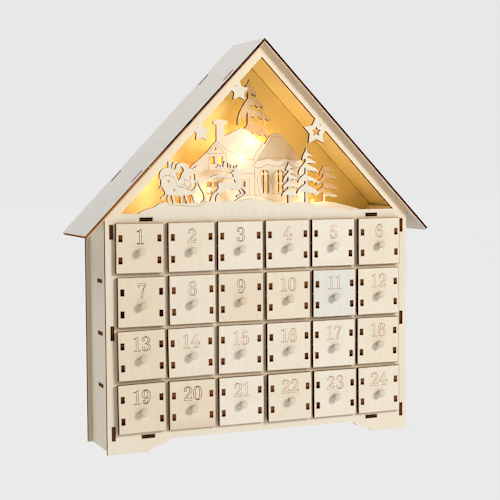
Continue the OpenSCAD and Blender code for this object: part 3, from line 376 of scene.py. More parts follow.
# The faces that look into the lit attic get a painted warm lamp glow; before the house, under the eaves, painted shade
# instead
attic = {"tint": (1.0, 0.93, 0.50, 1.0), "eaveShade": (1.0, 0.86, 0.70, 1.0), "inFront": (0, -1, 0),
         "turn": (0.3, 0.5), "behind": (2.6, 3.2), "floor": (208.0, 209.3)}


def plywood(name, look):
    # look: through = the sheet's normal, along = the grain, middle = where its middle lies along the normal,
    # holes = rectangles (along, aside, half, half) with smoke round them; the last value folds one into a pair
    made, tree, shader, spot = startMaterial(name)
    normal = add(tree, "ShaderNodeNewGeometry").outputs["True Normal"]
    px, py, pz = separate(tree, spot)
    through, along = Vector(look["through"]).normalized(), Vector(look["along"]).normalized()
    run, aside = dot(tree, spot, along), dot(tree, spot, through.cross(along))
    deep = minus(tree, dot(tree, spot, through), look["middle"] * mm)
    grain = combine(tree, run, aside, deep)
    under = place(tree, roofDepth, Vector=spot)["Depth"]
    cut = ease(tree, absolute(tree, dot(tree, normal, through)), *wood["cutTurn"], 1.0, 0.0)
    smoke, look = 0.0, dict(look)
    if "holes" in look:
        nearest = 1.0
        for x, y, halfX, halfY, folded in look["holes"]:
            side = absolute(tree, aside) if folded else aside
            away = place(tree, rectangle, X=minus(tree, run, x * mm), Y=minus(tree, side, y * mm),
                         HalfX=halfX * mm, HalfY=halfY * mm)["Distance"]
            nearest = smaller(tree, nearest, away)
        smoke = times(tree, smokeNear(tree, larger(tree, nearest, 0.0), grain, wood["smokeReach"]), 0.5)
    if isinstance(look.get("bite"), tuple):
        # the cut turns from toasted near the eave to charred near the ridge
        look["bite"] = fade(tree, pz, *look["bite"])
    if "paleEdge" in look:
        cut, smoke = paleRoofEdge(tree, normal, under, look["paleEdge"], cut, smoke)
    if "seam" in look:
        # a fine dark line under the roof, and painted shade on the sides that stand out past the walls
        smoke = larger(tree, smoke, fade(tree, under, *backSeam["depth"], backSeam["smoke"], 0.0))
        smoke = larger(tree, smoke, fade(tree, absolute(tree, px), *backSeam["sides"], 0.0, backSeam["sideShade"]))
    if "grid" in look:
        # painted shade in the drawer gaps, under the roof and beside each opening
        smoke, look["tinted"] = gridMarks(tree, px, pz, under, smoke)
        look["tint"] = drawerGrid["tint"]
    if "inside" in look:
        # painted lamp glow on faces that look into the attic, painted shade under the eaves in front
        turned = ease(tree, dot(tree, normal, look["inside"]), *attic["turn"])
        behind = fade(tree, py, *[front + y for y in attic["behind"]])
        look["tinted"] = times(tree, turned, fade(tree, pz, *attic["floor"]))
        look["tint"] = blendColours(tree, behind, attic["eaveShade"], look.get("insideTint", attic["tint"]))
    if "dome" in look:
        # a darker tone on the dome, and painted shade on the fir behind
        look["tinted"], look["tint"] = domeShade(tree, px, pz), dome["tint"]
    chips = ease(tree, noise(tree, grain, wood["chipWaves"], 1.0), *wood["chips"])
    finishWood(tree, shader, look, Grain=grain, Edge=grain, Cut=cut, Smoke=smoke, Chips=chips,
               Across=calc(tree, "DIVIDE", deep, house["ply"] / 2 * mm))
    return made


# Where the sheets meet: tabs and slots as seen on the front and back, and on the walls
wallSlots = [(z, 144.3, 6.3, 1.6, True) for z in (18.6, 107.9, 197.2)]
floorSlots = [(z, 112.2, 1.6, 6.1, True) for z in (14.1, 207.8)]
shelves = (152.2, 104.8, 57.4)
shelfSlots = [(z, 71.1, 1.6, 6.1, True) for z in shelves]
caseHole = [(225.95, -11, 16.75, 34.3, False)]
wallHoles = [(z, -(front + 33.2), 1.6, 7.6, False) for z in shelves]

facingFront = {"through": (0, 1, 0), "along": (0, 0, 1)}
facingSide = {"through": (1, 0, 0), "along": (0, 0, 1)}
lying = {"through": (0, 0, 1), "along": (1, 0, 0)}
lyingDeep = {"through": (0, 0, 1), "along": (0, 1, 0)}
sheets = {
    "front_panel": dict(facingFront, middle=front + 1.5, seed=1.0, bite=0.42, toast="#9a602f", deep="#f0e5d0",
                        holes=wallSlots + floorSlots, grid=True),
    "back_panel": dict(facingFront, middle=front + 64.9, seed=2.3, inside=attic["inFront"], seam=True,
                       holes=wallSlots + floorSlots + shelfSlots + caseHole),
    "cottage_layer": dict(facingFront, middle=front + 21.5, seed=3.1, bite=0.12, toast="#c48a52", dome=True),
    # the tree layer's face into the attic takes its own painted lamp glow tone
    "tree_layer": dict(facingFront, middle=front + 41.5, seed=4.7, bite=0.6, inside=attic["inFront"],
                       insideTint=(0.90, 0.74, 0.52, 1.0)),
    "left_wall": dict(facingSide, middle=-144.3, seed=5.2, bite=0.72, holes=wallHoles),
    "right_wall": dict(facingSide, middle=144.3, seed=6.9, bite=0.72, holes=wallHoles),
    "base_panel": dict(lying, middle=14.1, seed=7.4, bite=0.9),
    "attic_floor": dict(lying, middle=207.8, seed=8.8, bite=0.9),
}
pitch = drawerGrid["pitch"]
repeats = (("shelf_%d", 3, lying, 152.2, -pitch, 9.1), ("divider_%d", 5, facingSide, -2 * pitch, pitch, 13.3),
           ("runners_row_%d", 4, lyingDeep, 161.3, -pitch, 19.7))
for label, count, turned, first, step, seed in repeats:
    for k in range(count):
        sheets[label % (k + 1)] = dict(turned, middle=first + step * k, seed=seed + k)
# the roofs' undersides take a painted lamp glow, and painted shade under the eaves
for side, label in ((-1, "roof_left"), (1, "roof_right")):
    out = Vector((side * math.sin(slope), 0, math.cos(slope)))
    sheets[label] = {"through": out, "along": (0, 1, 0), "middle": house["ridgeZ"] * out.z + 1.5, "seed": 24.6 + side,
                     "light": "#e1dcd6", "deep": "#d8d1c7", "warm": "#dfd6cb", "toast": "#a0642f", "relief": 0.3,
                     "inside": tuple(-out), "insideTint": (1.25, 1.16, 0.64, 1.0),
                     "bite": 0.85 if side > 0 else (262.0, 274.0, 0.2, 0.85), "paleEdge": -1.0 if side > 0 else -0.9}
for label, look in sheets.items():
    dress(label, plywood(label.replace("_", " ") + " wood", look))
print("sheets dressed:", len(sheets))

# Drawers, numbered from the top left. Each one's pull, shift and turn is a share of the most,
# and the tab bites say how dark the laser left its tab ends.
drawers = {"frontHalf": 22.0, "trayHalf": 19.4, "knobFrom": -3.02, "backFrom": 52.97, "sideFrom": 16.37,
           "tabX": 17.9, "tabZs": (-10.6, 8.8), "tabHalf": (1.6, 2.85), "tabMiddle": 9.7, "tabSpan": 3.0,
           "pullMax": 2.5, "sideMax": 1.0, "rollMax": 1.0}
pullShares = [0.7, 0.5, 0.4, 0.5, 0.4, 0.7, 0.6, 0.2, 0.2, 0.7, 1.0, 0.8,
              1.0, 0.6, 0.3, 0.4, 0.6, 0.4, 0.9, 0.3, 0.4, 1.0, 0.6, 0.4]
sideShares = [-1.0, 0.2, 0.0, -0.5, -1.0, -0.2, 0.2, 0.9, 0.4, -0.2, -0.5, -1.0,
              -0.4, -0.9, 0.0, 0.4, -0.7, -1.0, -0.6, 0.0, 0.2, 0.7, 0.4, 0.0]
rollShares = [0.5, -0.1, 0.0, -0.3, 0.1, -0.2, 0.1, -0.1, 0.2, 0.0, 0.1, 0.0,
              -1.0, -0.7, 0.4, 0.1, -0.1, 0.2, -1.0, 0.1, -0.1, -0.3, -0.1, -0.4]
tabBites = [0.55, 0.55, 0.35, 0.5, 0.7, 0.4, 1.1, 0.25, 0.5, 0.45, 0.6, 0.5,
            0.75, 0.35, 0.4, 0.65, 0.6, 0.6, 0.8, 0.3, 0.4, 0.35, 0.8, 0.35]
# light, deep and warm tone of each kind of front; the first four take turns
fronts = {"kinds": [("#f5eddd", "#eddfc7", "#f4e7d4"), ("#f6efe1", "#eee1cb", "#f5ead9"),
                    ("#f4ebda", "#ecdec4", "#f3e4cf"), ("#f7f0e3", "#efe4d0", "#f6ebdc"),
                    ("#f0e3cc", "#e6d5ba", "#efe0c9"), ("#eeede5", "#e2e0d6", "#e9e7dc"),
                    ("#f3e5d0", "#ecdabf", "#f1e1ca")],
          "chosen": {1: 4, 7: 4, 13: 4, 19: 4, 11: 5, 9: 6, 20: 6}, "cutAcross": (5, 12, 20), "scorchedFoot": 20,
          "rimBite": 0.74, "smokeReach": 1.8, "smoke": 0.45, "rim": (0.15, 0.55, 0.7, 0.0),
          "neck": (-8.2, -5.6, 0.28, 0.85), "neckShade": (0.55, 0.46, 0.36, 1.0)}


def drawerPlace(n):
    column, row = (n - 1) % 6, (n - 1) // 6
    roll = math.radians(drawers["rollMax"] * rollShares[n - 1])
    lift = drawers["trayHalf"] * abs(math.sin(roll))
    at = frontPoint((column - 2.5) * drawerGrid["pitch"] + drawers["sideMax"] * sideShares[n - 1],
                    -drawers["pullMax"] * pullShares[n - 1],
                    drawerGrid["topRow"] - row * drawerGrid["pitch"] + lift)
    return at, roll


# Which surfaces of a drawer are cut edges, tab ends or knob, from a vector that starts at the drawer's own middle
regions, takes, gives = newGroup("drawerRegions", {point: "Vector Normal"},
                                 {number: "Cut Tab Knob Border Nick Across"})
x, y, z = separate(regions, takes["Vector"])
ax, az = absolute(regions, x), absolute(regions, z)
edgeX, edgeY, edgeZ = [ease(regions, absolute(regions, n), *wood["cutTurn"], 1.0, 0.0)
                       for n in separate(regions, takes["Normal"])]
isKnob = calc(regions, "LESS_THAN", y, drawers["knobFrom"] * mm)
isSide = calc(regions, "GREATER_THAN", ax, drawers["sideFrom"] * mm)
upright = larger(regions, calc(regions, "LESS_THAN", y, 0.01 * mm),
                 calc(regions, "GREATER_THAN", y, drawers["backFrom"] * mm))
cutEdge = choose(regions, upright, choose(regions, isSide, edgeZ, edgeX), edgeY)
tabs = 1.0
for tabZ in drawers["tabZs"]:
    away = place(regions, rectangle, X=minus(regions, ax, drawers["tabX"] * mm), Y=minus(regions, z, tabZ * mm),
                 HalfX=drawers["tabHalf"][0] * mm, HalfY=drawers["tabHalf"][1] * mm)["Distance"]
    tabs = smaller(regions, tabs, away)
isTab = times(regions, calc(regions, "LESS_THAN", tabs, 0.02 * mm), upright)
border = minus(regions, drawers["frontHalf"] * mm, larger(regions, ax, az))
atMiddle = calc(regions, "LESS_THAN", smaller(regions, ax, az), 0.4 * mm)
halfPly = house["ply"] / 2 * mm
acrossFront = calc(regions, "DIVIDE", plus(regions, y, halfPly), halfPly)
acrossTab = calc(regions, "DIVIDE", minus(regions, az, drawers["tabMiddle"] * mm), drawers["tabSpan"] * mm)
feed(regions, gives, {
    "Cut": times(regions, larger(regions, cutEdge, isTab), minus(regions, 1.0, isKnob)), "Tab": isTab,
    "Knob": isKnob, "Border": smaller(regions, border, larger(regions, tabs, 0.0)),
    "Nick": times(regions, atMiddle, calc(regions, "LESS_THAN", border, 0.1 * mm)),
    "Across": choose(regions, isTab, acrossFront, acrossTab)})


def drawerWood(n):
    made, tree, shader, spot = startMaterial("drawer %02d wood" % n)
    at, roll = drawerPlace(n)
    own = add(tree, "ShaderNodeMapping", {"Vector": spot, "Location": at, "Rotation": (0.0, roll, 0.0)},
              vector_type="TEXTURE").outputs[0]
    mask = place(tree, regions, Vector=own, Normal=add(tree, "ShaderNodeNewGeometry").outputs["True Normal"])
    px, py, pz = separate(tree, own)
    onFront = combine(tree, *((px, pz, py) if n in fronts["cutAcross"] else (pz, px, py)))
    grain = add(tree, "ShaderNodeMix", {0: mask["Knob"], 4: onFront, 5: combine(tree, py, px, pz)},
                data_type="VECTOR").outputs[1]
    # smoke beside the front's cut edges and a thin dark rim at the very edge: laser smoke, partly painted shade
    smoke = times(tree, smokeNear(tree, mask["Border"], grain, fronts["smokeReach"]), fronts["smoke"])
    smoke = larger(tree, smoke, fade(tree, mask["Border"], *fronts["rim"]))
    smoke = times(tree, smoke, minus(tree, 1.0, mask["Knob"]))
    if n == fronts["scorchedFoot"]:
        burn = plus(tree, pz, noise(tree, grain, 160.0, 3.0), 8.0 * mm)
        smoke = larger(tree, smoke, fade(tree, burn, -16.0, -6.0, 0.13, 0.0))
    tones = fronts["kinds"][fronts["chosen"].get(n, n * 7 % 4)]
    # painted shade on the knob's neck
    look = {"seed": 31.0 + 1.7 * n, "relief": 0.35, "tint": fronts["neckShade"],
            "tinted": times(tree, mask["Knob"], fade(tree, py, *fronts["neck"])),
            "bite": choose(tree, mask["Tab"], fronts["rimBite"], tabBites[n - 1]),
            **dict(zip(("light", "deep", "warm"), tones))}
    finishWood(tree, shader, look, Grain=grain, Edge=combine(tree, px, pz, py), Cut=mask["Cut"], Smoke=smoke,
               Across=mask["Across"], Chips=mask["Nick"])
    return made


for n in range(1, 25):
    dress("drawer_%02d" % n, drawerWood(n))
print("drawers dressed")

# Camera, fitted to the corners of the house; turns in degrees
shot = {"at": (-461.676, -1077.955, 252.343), "yaw": 22.6041, "pitch": -3.6559, "roll": -0.3457, "lens": 92.107}
camera = newObject("shotCamera", bpy.data.cameras.new("shotCamera"))
camera.data.lens, camera.data.sensor_width = shot["lens"], 36.0
camera.data.clip_start, camera.data.clip_end = 0.05, 40.0
yaw, pitch, roll = (math.radians(shot[k]) for k in ("yaw", "pitch", "roll"))
forward = Vector((math.sin(yaw) * math.cos(pitch), math.cos(yaw) * math.cos(pitch), math.sin(pitch)))
level = Vector((math.cos(yaw), -math.sin(yaw), 0))
lift = level.cross(forward)
right = level * math.cos(roll) + lift * math.sin(roll)
up = lift * math.cos(roll) - level * math.sin(roll)
turn = Matrix((right, up, -forward)).transposed()
camera.matrix_world = Matrix.Translation(frontPoint(*shot["at"])) @ turn.to_4x4()
scene.camera = camera

# Studio light; sizes and places in metres
scene.view_settings.view_transform = "Standard"
studio = {"sky": 0.17, "skyTone": (1.0, 0.955, 0.88, 1.0), "beyond": "#e9e9e9",
          "key": 27.5, "keyTone": (1.0, 0.972, 0.915), "keyFrom": (0.52, -1.0, 0.42), "keyAway": 2.2, "keySize": 0.7,
          "top": 24.8, "topTone": (0.98, 1.0, 1.03), "topAt": (-0.55, 0.45, 1.85), "topSize": 1.5,
          "middle": (0, 0, 0.18)}
scene.world = bpy.data.worlds.new("studio")
scene.world.use_nodes = True
sky = scene.world.node_tree
ambient = feed(sky, sky.nodes["Background"], {"Color": studio["skyTone"], "Strength": studio["sky"]})
# past the paper's edge the camera sees the same pale tone
seen = add(sky, "ShaderNodeBackground", {"Color": srgb(studio["beyond"]), "Strength": 1.0})
either = add(sky, "ShaderNodeMixShader", {0: add(sky, "ShaderNodeLightPath").outputs["Is Camera Ray"],
             1: ambient.outputs[0], 2: seen.outputs[0]})
feed(sky, sky.nodes["World Output"], {"Surface": either.outputs[0]})

# A paper sweep: a plane whose far edge is drawn up and rounded
sweep = {"size": 12.0, "behind": 2.0, "rise": 6.0, "bend": 2.0, "steps": 12, "tone": "#e8e8e8", "dark": "#2c2c2c"}
selectOnly()
bpy.ops.mesh.primitive_plane_add(size=sweep["size"], location=(0, sweep["behind"], 0))
floor = bpy.context.object
floor.name = "paperFloor"
farEnd = sweep["size"] / 2 - 0.1
pick(floor, "edges", lambda edge: all(floor.data.vertices[v].co.y > farEnd for v in edge.vertices), "EDGE")
bpy.ops.mesh.extrude_region_move(TRANSFORM_OT_translate={"value": (0, 0.0, sweep["rise"])})
bpy.ops.mesh.select_all(action="SELECT")
bpy.ops.mesh.bevel(offset=sweep["bend"], segments=sweep["steps"])
bpy.ops.object.mode_set(mode="OBJECT")
paper, tree, shader, spot = startMaterial("studio paper")
feed(tree, shader, {"Base Color": srgb(sweep["dark"]), "Roughness": 0.95, "Specular IOR Level": 0.1,
                    "Emission Color": srgb(sweep["tone"]), "Emission Strength": 0.985})
floor.data.materials.append(paper)


def areaLight(name, at, towards, size, power, tone):
    data = bpy.data.lights.new(name, "AREA")
    data.shape, data.size, data.energy, data.color = "DISK", size, power, tone
    made = newObject(name, data)
    made.location = at
    made.rotation_mode = "QUATERNION"
    made.rotation_quaternion = (Vector(towards) - Vector(at)).to_track_quat("-Z", "Y")


keyAt = Vector(studio["keyFrom"]).normalized() * studio["keyAway"] + Vector(studio["middle"])
areaLight("keyLight", keyAt, studio["middle"], studio["keySize"], studio["key"], studio["keyTone"])
areaLight("topLight", studio["topAt"], (0, 0, 0.2), studio["topSize"], studio["top"], studio["topTone"])
print("camera, stage and studio light set")

# Drawer numerals: outlines drawn on a grid 100 high, each with its width; a third value of 1 marks a sharp corner
numerals = {"height": 13.0, "foot": 3.5, "gap": 5.0, "slim": 2.2, "line": 0.44, "proud": 0.05,
            "boldness": {1: 1.6, 3: 1.15, 7: 1.1, 9: 1.15, 13: 1.25, 19: 1.35, 20: 1.35}}
digitShapes = {
    "0": (68, [
        [(34, 100), (52, 94), (63, 76), (66, 50), (63, 24), (52, 6), (34, 0), (16, 6), (5, 24), (2, 50), (5, 76),
         (16, 94)],
        [(34, 91), (42, 84), (46, 68), (47, 50), (46, 32), (42, 16), (34, 9), (26, 16), (22, 32), (21, 50), (22, 68),
         (26, 84)]]),
    "1": (52, [
        [(37, 100, 1), (28, 100, 1), (22, 94), (12, 91), (3, 91, 1), (3, 82, 1), (19, 82, 1), (19, 10, 1),
         (3, 10, 1), (3, 0, 1), (52, 0, 1), (52, 10, 1), (37, 10, 1)]]),
    "2": (66, [
        [(4, 0, 1), (65, 0, 1), (65, 30, 1), (56, 30, 1), (53, 21), (46, 18, 1), (28, 18, 1), (36, 30), (53, 46),
         (62, 58), (65, 72), (60, 88), (48, 98), (33, 100), (16, 96), (6, 86), (4, 75), (8, 67), (15, 65), (22, 69),
         (24, 77), (20, 84), (26, 90), (33, 92), (41, 87), (45, 75), (41, 60), (28, 43), (12, 25), (4, 12)]]),
    "3": (66, [
        [(6, 79), (8, 70), (16, 66), (23, 71), (24, 79), (22, 86), (29, 91), (37, 91), (43, 86), (45, 75), (41, 62),
         (33, 57), (25, 56, 1), (25, 47, 1), (34, 47), (42, 42), (46, 28), (43, 14), (35, 9), (26, 10), (22, 15),
         (25, 22), (22, 30), (14, 33), (6, 28), (3, 19), (9, 7), (21, 0), (35, -1), (52, 3), (63, 13), (66, 28),
         (61, 43), (49, 52), (59, 60), (63, 73), (59, 88), (47, 98), (33, 101), (18, 98), (9, 90)]]),
    "4": (72, [
        [(52, 100, 1), (40, 100, 1), (2, 38, 1), (2, 27, 1), (34, 27, 1), (34, 10, 1), (23, 10, 1), (23, 0, 1),
         (63, 0, 1), (63, 10, 1), (52, 10, 1), (52, 27, 1), (62, 27, 1), (62, 21, 1), (70, 21, 1), (70, 45, 1),
         (62, 45, 1), (62, 38, 1), (52, 38, 1)],
        [(34, 38, 1), (14, 38, 1), (34, 72, 1)]]),
    "5": (66, [
        [(12, 101, 1), (59, 101, 1), (59, 84, 1), (23, 84, 1), (21, 61, 1), (35, 66), (51, 62), (62, 50), (65, 32),
         (60, 13), (46, 2), (30, -1), (13, 3), (4, 13), (3, 22), (8, 30), (16, 33), (23, 29), (25, 20), (22, 13),
         (29, 9), (38, 12), (44, 22), (45, 34), (41, 47), (32, 53), (23, 51), (18, 45, 1), (8, 45, 1)]]),
    "6": (68, [
        [(60, 86), (60, 78), (54, 71), (46, 69), (40, 74), (41, 82), (43, 88), (37, 92), (30, 87), (25, 73),
         (24, 57), (34, 63), (46, 62), (58, 55), (65, 43), (66, 30), (61, 13), (50, 2), (35, -1), (19, 3), (8, 17),
         (3, 40), (5, 64), (14, 86), (28, 98), (42, 101), (54, 96)],
        [(34, 51), (41, 47), (45, 36), (45, 24), (42, 12), (35, 8), (28, 13), (25, 25), (25, 42)]]),
    "7": (66, [
        [(5, 101, 1), (65, 101, 1), (65, 90, 1), (55, 72), (46, 48), (43, 18), (41, 4), (33, -1), (25, 4), (24, 18),
         (31, 44), (42, 66), (52, 84, 1), (24, 84), (15, 80), (13, 70, 1), (5, 70, 1)]]),
    "8": (68, [
        [(34, 101), (51, 97), (60, 87), (60, 71), (52, 57), (62, 46), (66, 30), (61, 12), (48, 1), (34, -1), (20, 1),
         (7, 12), (2, 30), (6, 46), (16, 57), (8, 71), (8, 87), (17, 97)],
        [(34, 92), (41, 87), (43, 76), (41, 65), (34, 61), (27, 65), (25, 76), (27, 87)],
        [(34, 50), (43, 44), (46, 29), (43, 14), (34, 8), (25, 14), (22, 29), (25, 44)]]),
}
digitShapes["9"] = (68, [[(68 - x, 100 - y) for x, y in contour] for contour in digitShapes["6"][1]])


def slimmer(contours, amount):
    # the outer outline moves inwards and the inner ones outwards, so the strokes get thinner
    made = []
    for i, contour in enumerate(contours):
        spots = [Vector(p[:2]) for p in contour]
        area = sum(a.x * b.y - b.x * a.y for a, b in zip(spots, spots[1:] + spots[:1]))
        side = amount * (1 if area > 0 else -1) * (1 if i == 0 else -1)
        moved = []
        for k, spot in enumerate(spots):
            before = (spot - spots[k - 1]).normalized()
            after = (spots[(k + 1) % len(spots)] - spot).normalized()
            ahead = (before + after).normalized()
            share = 1.0
            if len(contour[k]) > 2:
                share = 1 / max(0.5, math.sqrt(max(0.0, (1 + before.dot(after)) / 2)))
            moved.append((spot.x - ahead.y * side * share, spot.y + ahead.x * side * share) + tuple(contour[k][2:]))
        made.append(moved)
    return made


def lineCurve(name, contours, width, closed):
    # a thin line along each contour, lying in the sheet's plane
    data = bpy.data.curves.new(name, "CURVE")
    data.dimensions, data.resolution_u = "3D", 4
    data.bevel_depth, data.bevel_resolution = width / 2 * mm, 0
    for contour in contours:
        spline = data.splines.new("BEZIER")
        spline.bezier_points.add(len(contour) - 1)
        spline.use_cyclic_u = closed
        for knot, spot in zip(spline.bezier_points, contour):
            knot.co = (spot[0] * mm, 0, spot[1] * mm)
            knot.handle_left_type = knot.handle_right_type = "VECTOR" if len(spot) > 2 else "AUTO"
    return asMesh(name, data)


def flatLine(name, contours, width, proud, placing, material, body, closed=True):
    # the line is pressed flat on its sheet, so that it stands only a little proud
    made = lineCurve(name, contours, width, closed)
    thin = Matrix.Diagonal((1, 2 * proud / width, 1, 1))
    made.data.transform(placing @ thin)
    made.data.update()
    made.data.materials.append(material)
    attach(made, body)


def scorchedLine(name, pale, dark, seed):
    made, tree, shader, spot = startMaterial(name)
    drawn = place(tree, scorched, Vector=shifted(tree, spot, (seed, seed * 0.7, seed * 1.3)),
                  Pale=srgb(pale), Dark=srgb(dark))
    feed(tree, shader, {"Base Color": drawn["Color"], "Roughness": 0.85, "Specular IOR Level": 0.2})
    relief(tree, shader, drawn["Height"], 0.3, 0.03)
    return made


amberScorch = scorchedLine("numeral scorch light", "#daa058", "#9a551b", 0.31)
brownScorch = scorchedLine("numeral scorch brown", "#bd8a60", "#5a3120", 0.87)
for n in range(1, 25):
    grow = numerals["height"] / 100
    digits = [(digitShapes[d][0], slimmer(digitShapes[d][1], numerals["slim"])) for d in str(n)]
    span = sum(w for w, c in digits) + numerals["gap"] * (len(digits) - 1)
    contours, offset = [], -span / 2
    for width, shapes in digits:
        contours += [[((p[0] + offset) * grow, p[1] * grow + numerals["foot"]) + tuple(p[2:]) for p in contour]
                     for contour in shapes]
        offset += width + numerals["gap"]
    at, roll = drawerPlace(n)
    placing = Matrix.Translation(at) @ Matrix.Rotation(roll, 4, "Y") @ Matrix.Translation((0, -house["ply"] * mm, 0))
    line = numerals["line"] * numerals["boldness"].get(n, 1.0)
    flatLine("drawer_%02d_numeral" % n, contours, line, numerals["proud"], placing,
             brownScorch if n in numerals["boldness"] else amberScorch, "drawer_%02d" % n)
print("numerals drawn")

# Fine scorched drawing on the winter scene, in mm from the house's middle and from the attic floor
cottageLines = [
    [(-47.1, 56.8, 1), (-38.2, 68.6, 1), (-25.4, 59.0, 1)], [(-44.2, 57.2, 1), (-38.5, 65.9, 1), (-29.9, 57.5, 1)],
    [(-46.6, 56.8, 1), (-27.9, 56.7, 1)], [(-45.6, 56.3, 1), (-45.1, 42.1, 1)], [(-27.9, 56.3, 1), (-27.5, 47.6, 1)],
    [(-43.9, 54.2, 1), (-30.9, 54.2, 1), (-30.7, 47.1, 1), (-43.6, 47.4, 1), (-43.9, 54.2, 1)],
    [(-24.4, 59.5), (-19.5, 56.3), (-14.5, 54.7), (-8.5, 51.2), (-0.5, 51.2)],
    [(8.7, 66.0), (1.5, 55.8), (-0.5, 48.4)], [(0.6, 42.8, 1), (0.6, 17.7, 1)], [(-11.1, 38.4, 1), (0.4, 38.4, 1)],
    [(-48.2, 40.3), (-35.4, 41.2), (-24.6, 39.3)],
    [(-11.9, 18.7, 1), (-11.9, 32.6, 1), (-4.9, 32.6, 1), (-4.7, 18.7, 1)],
    [(17.7, 73.2), (13.2, 65.1), (5.6, 54.6), (-1.4, 44.2)],
    [(17.9, 73.0), (21.5, 72.2), (25.4, 72.4), (28.4, 73.0)],
    [(3.3, 50.0), (8.1, 51.4), (14.4, 52.5), (20.8, 52.0), (27.2, 52.8), (33.6, 52.0), (39.4, 49.9), (45.5, 46.6)],
    [(-1.1, 44.2), (4.2, 43.2), (9.3, 44.4), (13.8, 46.5), (18.2, 45.3), (24.6, 44.3), (31.0, 46.1), (36.2, 45.4),
     (42.6, 43.4), (46.8, 44.4)],
    [(4.8, 19.2, 1), (4.8, 37.2), (9.9, 41.0), (15.0, 37.1), (15.0, 19.2, 1), (4.8, 19.2, 1)],
    [(19.5, 19.0, 1), (19.4, 37.1), (25.4, 41.4), (31.5, 37.0), (31.4, 19.0, 1), (19.5, 19.0, 1)],
    [(-11.0, 17.7), (0.3, 18.1), (11.7, 15.6), (20.6, 12.5)],
]
frontLines = [
    [(-93.4, 15.8), (-91.1, 12.2), (-84.5, 10.8), (-77.0, 10.0), (-68.4, 9.4), (-61.8, 9.8), (-57.4, 12.0),
     (-56.0, 15.3)],
    [(-98.2, 33.2), (-96.0, 36.1), (-91.8, 37.1), (-87.9, 36.5), (-85.2, 34.4), (-83.6, 30.8), (-81.6, 27.0),
     (-76.8, 26.1), (-71.2, 24.1), (-67.4, 23.5)],
    [(-77.2, 36.1), (-75.6, 32.5), (-76.3, 28.1), (-80.6, 27.2)],
    [(-75.6, 32.9), (-71.1, 31.6), (-70.2, 28.0), (-74.0, 24.5)], [(-78.7, 29.4), (-74.9, 28.0), (-71.6, 24.4)],
]
ornaments = [
    [(-92.0, 32.3), (-90.9, 32.6), (-90.5, 31.6), (-91.1, 30.7)],
    [(-86.6, 24.4), (-85.5, 24.7), (-85.1, 23.7), (-85.7, 22.8)],
]
sceneScorch = scorchedLine("scene scorch", "#e0b784", "#b98250", 0.53)
# the width of each drawing's lines, how proud they stand and how far behind the front their sheet is
drawings = (("cottage_drawing", cottageLines, 0.45, 0.05, 20.0, sceneScorch, "scene_ply"),
            ("sleigh_drawing", frontLines, 0.4, 0.05, 0.0, sceneScorch, "front_ply"),
            ("sleigh_ornaments", ornaments, 0.7, 0.06, 0.0, brownScorch, "front_ply"))
for label, contours, width, proud, behind, material, slot in drawings:
    placing = Matrix.Translation(frontPoint(0, behind, house["atticTop"]))
    flatLine(label, contours, width, proud, placing, material, "cabinet", closed=False)
print("scene drawing added")

# Lamp wire: the same points as in the source, first behind the cottage and then before it
wire = {"thick": 0.9, "rear": 40.0, "front": 20.0, "pale": "#f6ead2", "deep": "#ead2a8"}
wireBehind = [
    (-18, 12, 30.7), (-18, 12, 33.7), (-17, 11.5, 38.7), (-8, 10, 46.7), (8, 9, 54.7), (20, 8, 61.7), (26, 7, 69.7),
    (25.5, 6, 76.7), (21.5, 6, 82.7), (18, 6, 86.3), (14, 6, 88), (9.5, 6, 88.7), (5.5, 6, 90.7), (5.5, 6, 93.7),
    (9, 6, 95.9), (13.5, 4.8, 97.3), (16.4, 1.5, 97.7), (17, -2, 95.3), (18, -2.6, 89.7), (18.4, -3, 83.7),
    (17, -4.5, 78.7), (12.6, -9, 75.7)]
wireBefore = [
    (6, 4.5, 75.5), (1.6, -3, 71.8), (-3.3, -5, 65.8), (-9.4, -6, 58.4), (-14.5, -6, 50.8), (-22, -5, 43),
    (-32, -5, 34), (-41, -6, 27), (-47, -6, 22.1), (-53, -6, 18), (-57.5, -7, 13.4), (-58, -8, 7.2), (-53, -9, 2.7),
    (-38, -10, 1.3), (-12, -10, 1.1), (16, -10, 1.1), (40, -9, 1.7), (51, -8, 4.9), (56.5, -7, 10)]
wirePoints = [(x, y + depth, z + house["atticTop"])
              for depth, points in ((wire["rear"], wireBehind), (wire["front"], wireBefore)) for x, y, z in points]


def smoothRoute(points, steps):
    # the curve that passes through every point
    route = []
    for i in range(len(points) - 1):
        a, b, c, d = (Vector(points[max(0, min(k, len(points) - 1))]) for k in (i - 1, i, i + 1, i + 2))
        for k in range(steps):
            t = k / steps
            square, cube = (2 * a - 5 * b + 4 * c - d) * t ** 2, (3 * b - a - 3 * c + d) * t ** 3
            route.append(0.5 * (2 * b + (c - a) * t + square + cube))
    return route + [Vector(points[-1])]


data = bpy.data.curves.new("lamp_wire", "CURVE")
data.dimensions, data.use_fill_caps = "3D", True
data.bevel_depth, data.bevel_resolution = wire["thick"] / 2 * mm, 3
spline = data.splines.new("POLY")
route = smoothRoute(wirePoints, 6)
spline.points.add(len(route) - 1)
for knot, spot in zip(spline.points, route):
    knot.co = frontPoint(*spot).to_4d()
lampWire = asMesh("lamp_wire", data)
bpy.ops.object.shade_smooth()
wireCoat, tree, shader, spot = startMaterial("clear coated wire")
twist = add(tree, "ShaderNodeTexWave", {"Vector": spot, "Scale": 420.0, "Distortion": 1.5},
            bands_direction="DIAGONAL").outputs["Fac"]
feed(tree, shader, {"Base Color": blendColours(tree, twist, srgb(wire["pale"]), srgb(wire["deep"])),
                    "Roughness": 0.28, "Coat Weight": 0.6})
relief(tree, shader, twist, 0.35, 0.08)
lampWire.data.materials.append(wireCoat)
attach(lampWire, "cabinet")
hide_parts("light_wire")

